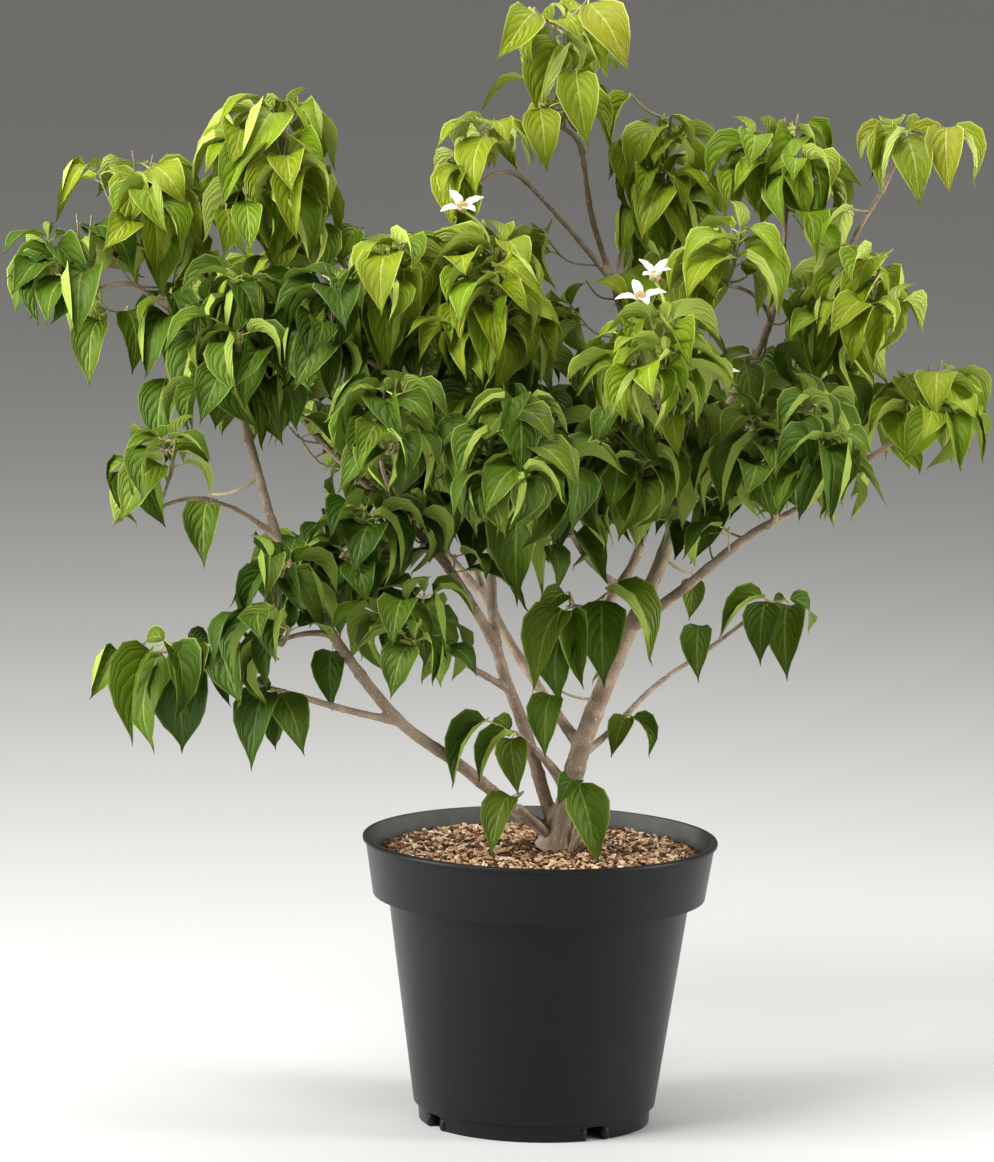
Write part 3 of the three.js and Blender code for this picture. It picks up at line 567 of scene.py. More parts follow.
class Pattern:
    """The points, faces, texture places and material numbers of a modelled piece, which is then removed."""

    def __init__(self, piece):
        mesh = piece.data
        self.points = np.empty((len(mesh.vertices), 3))
        mesh.vertices.foreach_get("co", self.points.ravel())
        self.corners = np.empty(len(mesh.loops), int)
        mesh.loops.foreach_get("vertex_index", self.corners)
        self.sizes = np.empty(len(mesh.polygons), int)
        mesh.polygons.foreach_get("loop_total", self.sizes)
        self.tones = np.empty(len(mesh.polygons), int)
        mesh.polygons.foreach_get("material_index", self.tones)
        self.places = np.zeros((len(mesh.loops), 2))
        if mesh.uv_layers.active:
            mesh.uv_layers.active.data.foreach_get("uv", self.places.ravel())
        bpy.data.objects.remove(piece)


class Heap:
    """Copies of patterns, gathered to be one mesh."""

    def __init__(self):
        self.points, self.corners, self.sizes, self.tones, self.places = [], [], [], [], []
        self.count = 0

    def add(self, pattern, matrix, tone=0):
        placed = pattern.points @ matrix[:3, :3].T + matrix[:3, 3]
        self.points.append(placed)
        self.corners.append(pattern.corners + self.count)
        self.sizes.append(pattern.sizes)
        self.tones.append(pattern.tones + tone)
        self.places.append(pattern.places)
        self.count += len(placed)

    def add_tube(self, line, radii, sides, tone=0):
        """A tapered tube with closed ends, in millimetres."""
        rings = tube_rings(line, radii, sides) * MM
        steps = len(line)
        ring, side = np.meshgrid(np.arange(steps - 1), np.arange(sides), indexing="ij")
        a = ring * sides + side
        b = ring * sides + (side + 1) % sides
        walls = np.stack([a, b, b + sides, a + sides], axis=-1).reshape(-1)
        ends = np.concatenate([np.arange(sides)[::-1], np.arange(sides) + (steps - 1) * sides])
        self.points.append(rings.reshape(-1, 3))
        self.corners.append(np.concatenate([walls, ends]) + self.count)
        self.sizes.append(np.array([4] * ((steps - 1) * sides) + [sides] * 2))
        self.tones.append(np.full((steps - 1) * sides + 2, tone))
        self.places.append(np.zeros((len(walls) + 2 * sides, 2)))
        self.count += steps * sides

    def build(self, name, materials):
        """One mesh object from all copies."""
        sizes = np.concatenate(self.sizes)
        mesh = bpy.data.meshes.new(name)
        mesh.vertices.add(self.count)
        mesh.vertices.foreach_set("co", np.concatenate(self.points).astype(np.float32).ravel())
        corners = np.concatenate(self.corners).astype(np.int32)
        mesh.loops.add(len(corners))
        mesh.loops.foreach_set("vertex_index", corners)
        mesh.polygons.add(len(sizes))
        starts = np.concatenate([[0], np.cumsum(sizes)[:-1]]).astype(np.int32)
        mesh.polygons.foreach_set("loop_start", starts)
        for material in materials:
            mesh.materials.append(material)
        mesh.polygons.foreach_set("material_index", np.concatenate(self.tones).astype(np.int32))
        uv = mesh.uv_layers.new(name="UVMap")
        uv.data.foreach_set("uv", np.concatenate(self.places).astype(np.float32).ravel())
        mesh.update(calc_edges=True)
        mesh.validate()
        made = bpy.data.objects.new(name, mesh)
        scene.collection.objects.link(made)
        select_only(made)
        bpy.ops.object.shade_smooth_by_angle(angle=math.radians(50))
        print(name, "has", int(sum(sizes - 2)), "triangles")
        return made


def tube_rings(line, radii, sides):
    """Rings of points round a line, turned as little as the line allows."""
    line = np.asarray(line, float)
    ahead = np.gradient(line, axis=0)
    ahead /= np.linalg.norm(ahead, axis=1)[:, None]
    side = np.cross(ahead[0], (0, 0, 1) if abs(ahead[0][2]) < 0.9 else (1, 0, 0))
    angles = np.arange(sides) * 2 * math.pi / sides
    rings = []
    for point, along, radius in zip(line, ahead, radii):
        side = unit(side - along * (side @ along))
        across = np.cross(along, side)
        spokes = np.outer(np.cos(angles), side) + np.outer(np.sin(angles), across)
        rings.append(point + radius * spokes)
    return np.array(rings)


# %% [markdown]
# The leaf. A dogwood leaf is broad below its middle, runs out to a long tip, is folded up along its
# midrib, and its margins roll over and show the pale underside. It arches over and hangs. One leaf
# is modelled as by hand from a flat grid of a few faces: rows are moved to their places and drawn in
# to the outline, the two halves are turned up about the midrib, a margin is rolled over, and then
# everything past each row is turned down a little further. Solidify gives it an underside with its own
# material, and leaves the margin sharp.

# %% Leaf outline
LEAF_LENGTH, LEAF_WIDTH, LEAF_THICKNESS = 66, 43, 0.4
ACROSS = 4
ROW_SHARES = [0, 0.07, 0.18, 0.32, 0.47, 0.62, 0.77, 0.9, 1]
ALONG = len(ROW_SHARES) - 1
QUARTER = 0.64
FULLNESS, POINTEDNESS, OUTLINE_PEAK = 0.8, 1.8, 0.2009


def outline(t):
    """Half the leaf's width at a share of its length: full below the middle, a long drawn-out tip."""
    return LEAF_WIDTH / 2 * t ** FULLNESS * (1 - t) ** POINTEDNESS / OUTLINE_PEAK


def select_points(piece, wanted):
    """In edit mode, selects the vertices with these numbers and nothing else."""
    shape = bmesh.from_edit_mesh(piece.data)
    for vertex in shape.verts:
        vertex.select_set(vertex.index in wanted)
    shape.select_flush_mode()
    bmesh.update_edit_mesh(piece.data)


def grid_rows(piece):
    """The grid's vertices by their place: rows along the leaf, each from left to right."""
    places = [(round(v.co.y, 6), round(v.co.x, 6), v.index) for v in piece.data.vertices]
    levels = sorted({y for y, _, _ in places})
    return [[index for y, _, index in sorted(places) if y == level] for level in levels]


def flat_grid(name, across, along):
    """A grid one unit long, with its foot at the origin, its length along Y and one unit to each side."""
    deselect()
    bpy.ops.mesh.primitive_grid_add(x_subdivisions=across, y_subdivisions=along, size=1)
    made = bpy.context.object
    made.name = name
    bpy.ops.object.mode_set(mode="EDIT")
    bpy.ops.transform.translate(value=(0, 0.5, 0))
    bpy.ops.transform.resize(value=(2, 1, 1), center_override=(0, 0, 0))
    bpy.ops.object.mode_set(mode="OBJECT")
    return made


# %% Leaf shaping
TURN = -1  # with no window open, the rotate operator turns the other way
WAVE_STEP, BEND_SPREAD, WELD = 2.1, 0.3, 0.02


def turn_points(piece, wanted, angle, axis, middle):
    select_points(piece, wanted)
    bpy.ops.transform.rotate(value=TURN * angle, orient_axis=axis, center_override=middle)


def point_of(piece, index):
    """The place of a vertex of the mesh that is being edited."""
    shape = bmesh.from_edit_mesh(piece.data)
    shape.verts.ensure_lookup_table()
    return shape.verts[index].co.copy()


def draw_outline(leaf, rows):
    """Moves each row to its share of the length and draws it in to the outline."""
    for k, row in enumerate(rows):
        t = ROW_SHARES[k]
        select_points(leaf, row)
        bpy.ops.transform.translate(value=(0, t - k / ALONG, 0))
        bpy.ops.transform.resize(value=(outline(t) * MM, 1, 1), center_override=(0, 0, 0))
    select_points(leaf, {row[c] for row in rows for c in (1, ACROSS - 1)})
    bpy.ops.transform.resize(value=(QUARTER * 2, 1, 1), center_override=(0, 0, 0))
    select_points(leaf, {index for row in rows for index in row})
    bpy.ops.transform.resize(value=(1, LEAF_LENGTH * MM, 1), center_override=(0, 0, 0))


def fold_and_roll(leaf, rows, look, draw):
    """Turns the halves up about the midrib, rolls each margin over and waves it."""
    for columns, sign in (((0, 1), 1), ((ACROSS - 1, ACROSS), -1)):
        turn_points(leaf, {row[c] for row in rows for c in columns}, sign * look["fold"], "Y", (0, 0, 0))
    sides = ((0, 1, 1, look["rolls"][0]), (ACROSS, ACROSS - 1, -1, look["rolls"][1]))
    for margin, quarter, sign, roll in sides:
        for k in range(1, ALONG):
            share = math.sin(math.pi * ROW_SHARES[k] ** 0.9) ** 1.2
            wave = look["wave"] * math.sin(k * WAVE_STEP + margin + draw())
            hinge = point_of(leaf, rows[k][quarter])
            turn_points(leaf, {rows[k][margin]}, sign * (roll * share + wave), "Y", hinge)


def arch_over(leaf, rows, look):
    """Turns all that lies past each row a little further down, most at bend_at, and flicks the tip."""
    places = np.array(ROW_SHARES[1:-1])
    bends = np.exp(-((places - look["bend_at"]) / BEND_SPREAD) ** 2)
    bends *= look["bend"] / bends.sum()
    bends[-1] -= look["flick"]
    for k, bend in enumerate(bends, 1):
        hinge = point_of(leaf, rows[k][ACROSS // 2])
        beyond = {index for row in rows[k + 1:] for index in row}
        turn_points(leaf, beyond, -bend, "X", hinge)
        turn_points(leaf, beyond, look["twist"] / ALONG, "Y", hinge)


LOOK_PARTS = ("bend", "bend_at", "fold", "rolls", "wave", "twist", "flick")
LEAF_LOOKS = [
    (1.4, 0.2, 0.3, (0.2, 0.3), 0.16, 0.0, 0.1),
    (1.6, 0.15, 0.5, (2.4, 0.2), 0.1, 0.3, 0.35),
    (1.5, 0.3, 0.2, (0.1, 0.5), 0.24, -0.4, 0.2),
    (1.2, 0.25, 0.8, (0.3, 0.1), 0.16, 0.5, 0.25),
    (1.75, 0.25, 0.4, (0.2, 2.5), 0.1, -0.3, 0.5),
    (1.3, 0.45, 0.12, (0.5, 0.3), 0.24, 0.3, 0.3),
    (1.55, 0.1, 0.25, (0.3, 0.4), 0.2, 0.2, 0.2),
    (1.65, 0.35, 0.6, (0.6, 0.4), 0.14, -0.5, 0.4),
]
YOUNG_LOOK = (0.9, 0.6, 0.9, (0.2, 0.2), 0.1, 0.2, 0.0)
HANGING_LOOK = (0.6, 0.25, 0.3, (0.2, 0.35), 0.2, 0.15, 0.1)


def thicken(piece, blade_points, thickness):
    """A closed leaf: full thickness inside, none at its margin, and slot 1 on its underside."""
    bpy.ops.object.material_slot_add()
    bpy.ops.object.material_slot_add()
    blade = piece.vertex_groups.new(name="blade")
    blade.add(sorted(blade_points), 1, "REPLACE")
    apply_modifier(piece, "SOLIDIFY", thickness=thickness * MM, offset=-1, material_offset=1,
                   vertex_group="blade", thickness_vertex_group=0)
    bpy.ops.object.mode_set(mode="EDIT")
    bpy.ops.mesh.select_all(action="SELECT")
    bpy.ops.mesh.remove_doubles(threshold=WELD * MM)
    bpy.ops.object.mode_set(mode="OBJECT")


def modelled_leaf(name, look, draw):
    """One closed leaf as a pattern."""
    look = dict(zip(LOOK_PARTS, look))
    leaf = flat_grid(name, ACROSS, ALONG)
    rows = grid_rows(leaf)
    bpy.ops.object.mode_set(mode="EDIT")
    draw_outline(leaf, rows)
    fold_and_roll(leaf, rows, look, draw)
    arch_over(leaf, rows, look)
    bpy.ops.object.mode_set(mode="OBJECT")
    thicken(leaf, {index for row in rows[1:-1] for index in row[1:-1]}, LEAF_THICKNESS)
    return Pattern(leaf)


leaf_draw = seeded_draws(11)
leaf_patterns = [modelled_leaf(f"leaf_model_{k}", look, leaf_draw) for k, look in enumerate(LEAF_LOOKS)]
young_leaf = modelled_leaf("leaf_model_young", YOUNG_LOOK, leaf_draw)
hanging_leaf = modelled_leaf("leaf_model_hanging", HANGING_LOOK, leaf_draw)
print("one leaf has", len(leaf_patterns[0].sizes), "faces")

# %% [markdown]
# Leaf finish. The upper side is a clear green with a pale midrib and five pairs of veins that run
# forward along the margin. The underside is paler and dull. The leaf's own texture places say where the
# veins are: the first runs across the blade, the second along it. A few neighbouring greens are dealt
# out, shoot by shoot, so that the crown is not one colour.

# %% Leaf materials
VEIN_PAIRS, VEIN_SLANT, VEINED_SHARE = 5, 0.62, 0.72
GLOW_SHARE = 0.22


def vein_mask(f):
    """1 on the midrib and the side veins, how far out and along, and the swelling between the veins."""
    place = f.node("ShaderNodeUVMap", {"uv_map": "UVMap"})
    parts = f.node("ShaderNodeSeparateXYZ", feeds={0: place}).socket.node.outputs
    across, along = Wire(f, parts[0]), Wire(f, parts[1])
    off_rib = (across - 0.5).size() * 2
    midrib = off_rib.below(0.045, 0.025)
    beat = ((along - off_rib ** 1.4 * VEIN_SLANT) * VEIN_PAIRS / VEINED_SHARE).fraction()
    off_vein = (beat - 0.5).size()
    side = off_vein.below(0.06, 0.05)
    return midrib, side * off_rib.below(0.9, 0.1), off_rib, along, off_vein * off_rib.below(0.8, 0.2)


def lit_through(f, skin, glow_code):
    """A thin blade: some of the light behind it comes through, in a yellower green."""
    glow = f.node("ShaderNodeBsdfTranslucent", feeds={"Color": paint(glow_code)})
    return f.finish(f.node("ShaderNodeMixShader", feeds={0: GLOW_SHARE, 1: skin, 2: glow}))


def leaf_top(name, code, vein_code, glow_code):
    """The upper side, with pale veins, a brown tip, swellings, and a pale margin that is partly painted
    highlight.
    """
    f = Finish(name)
    midrib, side, off_rib, along, swelling = vein_mask(f)
    patches = f.noise(38, 3)
    colour = f.two_tones(patches, code, 0.68, 1.26)
    # Pale rim along the margin: partly the blade's own paler edge, partly painted highlight where the margin
    # curls.
    pale_rim_and_highlight = (1 - off_rib.below(0.93, 0.05)) * 0.8
    colour = f.blend(midrib * 0.55 + side * 0.28 + pale_rim_and_highlight, colour, vein_code)
    colour = f.blend((1 - along.below(0.94, 0.03)) * 0.65, colour, "8a5a24")
    relief = f.bump(swelling * 1.5 - side * 0.3 - midrib * 0.8, 0.95, 0.85)
    return lit_through(f, f.skin(colour, 0.44 + patches * 0.14, relief, 0.22), glow_code)


def leaf_back(name, code, glow_code):
    """The underside, paler and duller, on which the veins stand out."""
    f = Finish(name)
    midrib, side, _, _, swelling = vein_mask(f)
    patches = f.noise(45, 2)
    colour = f.two_tones(patches, code, 0.84, 1.1)
    colour = f.blend(midrib * 0.5 + side * 0.25, colour, "ccd67c")
    relief = f.bump(midrib * 0.9 + side * 0.6 - swelling, 0.9, 0.8)
    return lit_through(f, f.skin(colour, 0.62 + patches * 0.1, relief, 0.1), glow_code)


GREENS = {
    "lime": [("8a9812", "c8d068", "9fb21b"), ("7f8f12", "bec961", "94a818"), ("969a1d", "ced271", "a7b31f")],
    "fresh": [("7f9611", "bccb5e", "99b518"), ("738e10", "b2c45a", "8baa16"), ("8b9a16", "c4cf62", "a2b01c")],
    "green": [("526c0b", "9cae50", "6a8b14"), ("46620b", "8ea146", "608112"), ("5c7211", "a2b052", "748e18")],
    "deep": [("3f5a08", "84984a", "5a7a0f"), ("37520b", "788c42", "50700e"), ("4b620e", "8e9e4c", "648311")],
}
BACK_CODES = {
    "lime": ("cad874", "bdce2e"), "fresh": ("bac95e", "a7bd2a"),
    "green": ("9cb04c", "86a423"), "deep": ("82993c", "6f8f1b"),
}
TONES_EACH = 3
leaf_materials = {}
for green, tones in GREENS.items():
    made = []
    for k, (code, vein_code, glow_code) in enumerate(tones):
        made.append(leaf_top(f"leaf_top_{green}_{k}", code, vein_code, glow_code))
        made.append(leaf_back(f"leaf_back_{green}_{k}", *BACK_CODES[green]))
    leaf_materials[green] = made
print("leaf tones:", sum(len(made) for made in leaf_materials.values()) // 2)

# %% [markdown]
# Leaves set one by one. Six masses have so few leaves that each one shows against the sky, and so do the
# single leaves round the crown's outline. A sprig is a green, the place where its leaves part, and each
# leaf's foot, tip and pattern. A lone leaf has a row of its own, and its twig ends just behind its foot.

# %% Leaves one by one
SPRIGS = {
    "low_right": [
        ("green", (177, 84, 405), [
            ((173, 84, 408), (138, 70, 375), 3), ((175, 80, 406), (172, 60, 356), 5),
            ((191, 92, 400), (193, 96, 353), 3)]),
        ("green", (191, 90, 406), [
            ((194, 86, 402), (194, 62, 344), 6), ((194, 94, 406), (211, 116, 373), 2),
            ((190, 94, 406), (183, 110, 391), 0)]),
        ("green", (124, 62, 383), [
            ((123, 60, 388), (123, 46, 344), 6)]),
    ],
    "far_low_left": [
        ("deep", (-273, -116, 390), [
            ((-278, -110, 382), (-281, -96, 302), 2), ((-268, -124, 393), (-270, -146, 339), 6),
            ((-261, -116, 389), (-239, -122, 344), 3), ((-275, -110, 393), (-256, -86, 388), 0)]),
        ("green", (-292, -118, 393), [
            ((-304, -122, 388), (-313, -146, 315), 3), ((-296, -114, 385), (-299, -104, 302), 5),
            ((-287, -124, 391), (-284, -148, 335), 7), ((-293, -110, 394), (-311, -86, 385), 0)]),
        ("green", (-319, -118, 387), [
            ((-329, -118, 386), (-351, -120, 347), 4)]),
    ],
    "low_left_small": [
        ("deep", (-207, -112, 357), [
            ((-211, -118, 356), (-223, -138, 296), 6), ((-202, -118, 356), (-182, -134, 309), 5),
            ((-206, -106, 351), (-205, -96, 306), 3), ((-211, -104, 356), (-228, -82, 351), 0)]),
    ],
    "low_centre": [
        ("green", (17, -66, 420), [
            ((15, -72, 418), (-8, -92, 355), 6), ((17, -68, 416), (33, -80, 357), 3),
            ((16, -60, 414), (14, -62, 340), 5)]),
        ("green", (18, -56, 430), [
            ((15, -60, 429), (-10, -78, 408), 0), ((30, -50, 401), (37, -46, 354), 7)]),
        ("green", (47, -42, 427), [
            ((44, -52, 424), (48, -74, 357), 5), ((49, -46, 429), (84, -62, 373), 4)]),
        ("green", (10, -36, 350), [
            ((7, -40, 346), (3, -56, 297), 6)]),
    ],
    "basal_shoots": [
        ("green", (-21, -18, 312), [
            ((-26, -28, 311), (-50, -42, 272), 1), ((-24, -28, 309), (-17, -42, 265), 6),
            ((-26, -8, 312), (-39, 16, 318), 0)]),
        ("green", (-34, -22, 318), [
            ((-44, -26, 322), (-69, -46, 269), 3)]),
        ("green", (-14, -26, 266), [
            ((-23, -34, 264), (-38, -52, 217), 6)]),
        ("green", (26, -26, 273), [
            ((29, -32, 276), (47, -54, 212), 8), ((25, -28, 276), (12, -58, 260), 0)]),
        ("green", (69, 28, 321), [
            ((66, 24, 319), (54, 10, 288), 0), ((70, 26, 318), (84, 16, 287), 7)]),
    ],
    "far_right_top": [
        ("lime", (270, -20, 791), [
            ((271, -24, 789), (283, -44, 735), 5), ((274, -16, 792), (297, -12, 756), 7),
            ((266, -24, 790), (252, -42, 743), 1), ((271, -14, 792), (288, 18, 782), 0)]),
        ("lime", (292, -24, 793), [
            ((302, -28, 796), (305, -48, 745), 6), ((304, -22, 793), (325, -24, 749), 4)]),
        ("lime", (258, -16, 793), [
            ((256, -20, 793), (241, -34, 754), 7), ((255, -14, 794), (235, -10, 763), 3),
            ((260, -12, 794), (264, 22, 786), 2)]),
    ],
}
LONE_LEAVES = [
    ("lime", (94, -156, 583), (99, -170, 552), 6), ("green", (115, 28, 431), (112, 24, 397), 2),
    ("green", (-264, -22, 491), (-266, -38, 438), 6), ("green", (-300, -20, 586), (-303, -34, 528), 5),
    ("green", (-352, -20, 630), (-358, -34, 577), 6), ("green", (-331, -20, 638), (-327, -34, 588), 2),
    ("green", (-297, -20, 652), (-294, -34, 598), 7), ("lime", (22, -4, 884), (56, -22, 832), 5),
    ("lime", (-20, -8, 876), (-50, -28, 840), 2), ("lime", (14, 0, 828), (26, -18, 772), 6),
    ("fresh", (56, 34, 808), (43, 18, 766), 3), ("lime", (-14, 0, 802), (-6, -16, 752), 5),
    ("green", (-165, -60, 380), (-163, -74, 334), 6), ("green", (150, -30, 610), (158, -44, 566), 5),
    ("green", (-16, -70, 501), (-21, -84, 421), 6), ("deep", (9, -60, 504), (11, -70, 461), 5),
    ("deep", (1, -66, 468), (8, -76, 432), 2), ("fresh", (-255, -30, 720), (-257, -44, 682), 2),
    ("fresh", (-239, -40, 728), (-233, -56, 688), 5),
]
LONE_BACK, LONE_RISE = 5, 3
print("sprigs:", sum(len(found) for found in SPRIGS.values()), "and lone leaves:", len(LONE_LEAVES))

# %% [markdown]
# Growth. Every mass has one stem, which leaves its bough and ends at a hub. The main shoots part there
# and end on a golden-angle spiral, from the top of the mass outward and down. Finer shoots leave the
# main ones half way and fill the places between. The rule and its draws are those of the plain solids,
# so the leafy crown keeps the same reach.

# %% Stems
GOLDEN_ANGLE = math.pi * (3 - math.sqrt(5))
TWIG_SPACING = 7
UPWARD = np.array([0, 0, 1.0])
HUB_DROP, STEM_OVERLAP, STEM_PULL, STEM_BEND, STEM_STEPS = 0.3, 3, 0.4, 0.45, 24
END_SHARE, SIDE_SHARE, STEM_TIP = 0.95, 0.62, 1.5
SWELLING, SWELLING_REACH = 0.5, 7


def bezier(start, bend, end, steps):
    t = np.linspace(0, 1, steps + 1)[:, None]
    return (1 - t) ** 2 * start + 2 * t * (1 - t) * bend + t ** 2 * end


def grow_stem(name, row):
    """The stem's line and radii, from its limb to the hub."""
    limb_name, height, middle, half, _, _ = row
    limb = limbs[limb_name]
    hub = np.array(middle, float)
    hub[2] -= half[2] * HUB_DROP
    if name in SPRIGS:
        hub = np.array(SPRIGS[name][0][1], float)
    if height is None:
        heading = unit(limb["line"][-1] - limb["line"][-2])
        start = limb["line"][-1] - heading * STEM_OVERLAP
        foot = limb["tip"] * END_SHARE
    else:
        start, step = axis_at(limb["line"], height)
        near = limb["line"][min(int(step) + 1, len(limb["line"]) - 1)] - limb["line"][int(step)]
        heading = unit(unit(hub - start) + STEM_PULL * unit(near))
        foot = lerp(limb["foot"], limb["tip"], step / len(limb["line"])) * SIDE_SHARE
    reach = np.linalg.norm(hub - start)
    bent = bezier(start, start + heading * reach * STEM_BEND, hub, STEM_STEPS)
    line = even_steps(bent, TWIG_SPACING)
    radii = np.linspace(foot, min(foot, STEM_TIP), len(line))
    walked = np.arange(len(line)) * TWIG_SPACING
    return line, radii * (1 + SWELLING * np.exp(-walked / SWELLING_REACH))


# %% Shoots
SHOOT_APART, STEM_REACH, KNEE_SHARE, KNEE_SAG = 5.5, 20, 0.42, 0.2
SHOOT_ROOM, LEAST_ROOM, ROOM_ABOVE, ROOM_BELOW = 32.6, 0.34, 14, 0.12
SWAY, DROP = 0.9, 5
LAYER_DROPS, LAYER_SPREAD, LOWEST_TIP = [4, 16, 30, 44], 8, 44
FINER_EACH = 4
DENSE = {"centre_top": 6, "centre_left": 6, "centre_front": 6, "dome": 5, "dome_low": 6, "left_front": 6,
         "left_inner_right": 6, "left_inner": 5, "left_top": 5}
SPARSE = {"left_low": 2, "far_left": 2, "low_front": 2, "top_leader": 2, "right_edge": 3}
SEEDS_EACH, FINER_SEED = 100, 50
OTHER_SEEDS = {"right_shoulder": 20}


def shoot_tip(row, share, azimuth, jitter):
    _, _, middle, half, _, _ = row
    ring = math.sqrt(share)
    room = [max(h - SHOOT_ROOM, h * LEAST_ROOM) for h in half]
    height = lerp(half[2] - ROOM_ABOVE, -half[2] * ROOM_BELOW, share)
    return np.array([middle[0] + room[0] * ring * math.cos(azimuth),
                     middle[1] + room[1] * ring * math.sin(azimuth), middle[2] + height - jitter])


def shoot_line(branch, tip):
    knee = lerp(tip, branch, KNEE_SHARE)
    knee[2] -= np.linalg.norm(branch - tip) * KNEE_SAG
    return smooth_line([branch, knee, tip], TWIG_SPACING)


def grown_shoot(branch, tip, draw, finer):
    return {"line": shoot_line(branch, tip), "turn": draw() * 2 * math.pi, "draw": draw, "finer": finer}


def grow_shoots(name, order, row):
    """Main shoots by the plain solid's own draws, then finer ones in layers between them."""
    count, middle, half = row[4], row[2], row[3]
    stem, _ = stems[name]
    mothers = []
    for k in range(count):
        draw = seeded_draws(order * SEEDS_EACH + OTHER_SEEDS.get(name, 0) + k + 1)
        azimuth = k * GOLDEN_ANGLE + draw() * SWAY
        tip = shoot_tip(row, (k + 0.5) / count, azimuth, draw() * DROP)
        branch = stem[-1] + unit(stem[-2] - stem[-1]) * min(SHOOT_APART * k, STEM_REACH)
        mothers.append(grown_shoot(branch, tip, draw, False))
    finer = []
    finer_count = count * {**DENSE, **SPARSE}.get(name, FINER_EACH)
    for k in range(finer_count):
        draw = seeded_draws(order * SEEDS_EACH + FINER_SEED + k)
        azimuth = (k + 0.5) * GOLDEN_ANGLE + math.pi + draw() * SWAY
        drop = LAYER_DROPS[k % len(LAYER_DROPS)] + draw() * LAYER_SPREAD
        tip = shoot_tip(row, (k + 0.5) / finer_count, azimuth, drop)
        tip[2] = max(tip[2], middle[2] - half[2] + LOWEST_TIP)
        mother = min(mothers, key=lambda shoot: np.linalg.norm(shoot["line"][-1] - tip))["line"]
        finer.append(grown_shoot(mother[len(mother) * 2 // 5], tip, draw, True))
    return mothers + finer


# %% [markdown]
# Full places and gaps. In the crown's heart the photo shows leaves without a gap. Each full place is an
# egg with a middle and half sizes, where boughs carry short side shoots and leaves may pass the edge of
# their mass. In other places the sky shows through. Each gap is a window as the camera sees it, measured
# across and up at the depth of the trunk, and no leaf of the rule is set where it would show there.

# %% Full places and gaps
FULL_PLACES = [
    ((-30, -20, 590), (168, 175, 135)), ((12, -60, 508), (125, 112, 62)),
    ((226, -30, 606), (90, 72, 62)), ((-246, 0, 690), (88, 60, 52)), ((-322, -10, 625), (55, 50, 45)),
    ((215, -30, 720), (50, 50, 30)), ((135, -60, 500), (60, 60, 50)), ((160, -60, 668), (32, 50, 32)),
    ((0, -80, 436), (50, 60, 40)), ((124, -30, 476), (36, 50, 32)), ((197, -30, 692), (28, 40, 26)),
    ((-85, -60, 452), (32, 50, 26)), ((-40, 120, 560), (130, 75, 90)), ((150, 110, 560), (80, 75, 60)),
    ((-170, 130, 545), (70, 70, 60)),
]
SKY = [
    ((2, 46), (672, 745)), ((0, 36), (752, 774)), ((-1, 34), (668, 732)), ((-2, 10), (740, 791)),
    ((-163, -105), (709, 813)), ((-118, -101), (706, 809)), ((-101, -59), (802, 814)),
    ((47, 135), (801, 827)), ((-389, -288), (760, 791)), ((-432, -390), (706, 744)),
    ((-431, -375), (583, 620)), ((-375, -349), (414, 549)), ((-347, -273), (415, 461)),
    ((-391, -364), (269, 396)), ((-343, -250), (402, 412)), ((-248, -159), (254, 290)),
    ((-176, -151), (256, 334)), ((-205, -181), (477, 540)), ((150, 221), (427, 455)),
    ((137, 147), (336, 390)), ((108, 223), (317, 340)), ((224, 339), (803, 823)), ((253, 341), (715, 735)),
    ((296, 342), (611, 717)), ((267, 342), (687, 717)), ((140, 180), (622, 638)), ((-50, -24), (796, 812)),
    ((150, 222), (802, 830)), ((-56, -8), (716, 750)), ((24, 36), (628, 664)), ((234, 256), (706, 744)),
    ((180, 192), (702, 722)), ((-376, -350), (706, 718)), ((-348, -328), (638, 660)),
    ((-296, -270), (468, 500)), ((-262, -252), (516, 536)), ((-206, -176), (352, 386)),
    ((-112, -94), (332, 344)), ((-152, -128), (346, 360)), ((262, 292), (606, 626)),
    ((144, 156), (458, 484)), ((136, 154), (638, 674)),
]
print("full places:", len(FULL_PLACES), "gaps:", len(SKY))


def heart_fill(points):
    """Below 1 in the crown's heart and the other places where the photo shows leaves without a gap."""
    fills = [(((points - middle) / half) ** 2).sum(axis=1) for middle, half in FULL_PLACES]
    return np.min(fills, axis=0)


def in_sky(points):
    """Whether any point is seen, from the camera, in a gap where the photo shows sky."""
    camera_place = np.array(CAMERA_PLACE) / MM
    nearer = camera_place[1] / (camera_place[1] - points[:, 1])
    across = points[:, 0] * nearer
    height = camera_place[2] + (points[:, 2] - camera_place[2]) * nearer
    return any(((across > left) & (across < right) & (height > low) & (height < high)).any()
               for (left, right), (low, high) in SKY)


# %% Side shoots
SIDE_EVERY, SIDE_LENGTHS, SIDE_RISE, SIDE_SWAY, SIDE_SEED = 17, (30, 62), 0.55, 0.8, 5000


def grow_side_shoots():
    """Short shoots that leave the boughs themselves, in the heart of the crown."""
    grown = []
    stride = round(SIDE_EVERY / LIMB_SPACING)
    for order, limb in enumerate(limbs.values()):
        line = limb["line"]
        for k in range(stride, len(line) - 2, stride):
            if heart_fill(line[k:k + 1])[0] <= 1:
                draw = seeded_draws(SIDE_SEED + order * SEEDS_EACH + k)
                azimuth = k * GOLDEN_ANGLE + draw() * SIDE_SWAY
                out = unit(np.array([math.cos(azimuth), math.sin(azimuth), SIDE_RISE]))
                grown.append(grown_shoot(line[k], line[k] + out * lerp(*SIDE_LENGTHS, draw()), draw, True))
    return grown


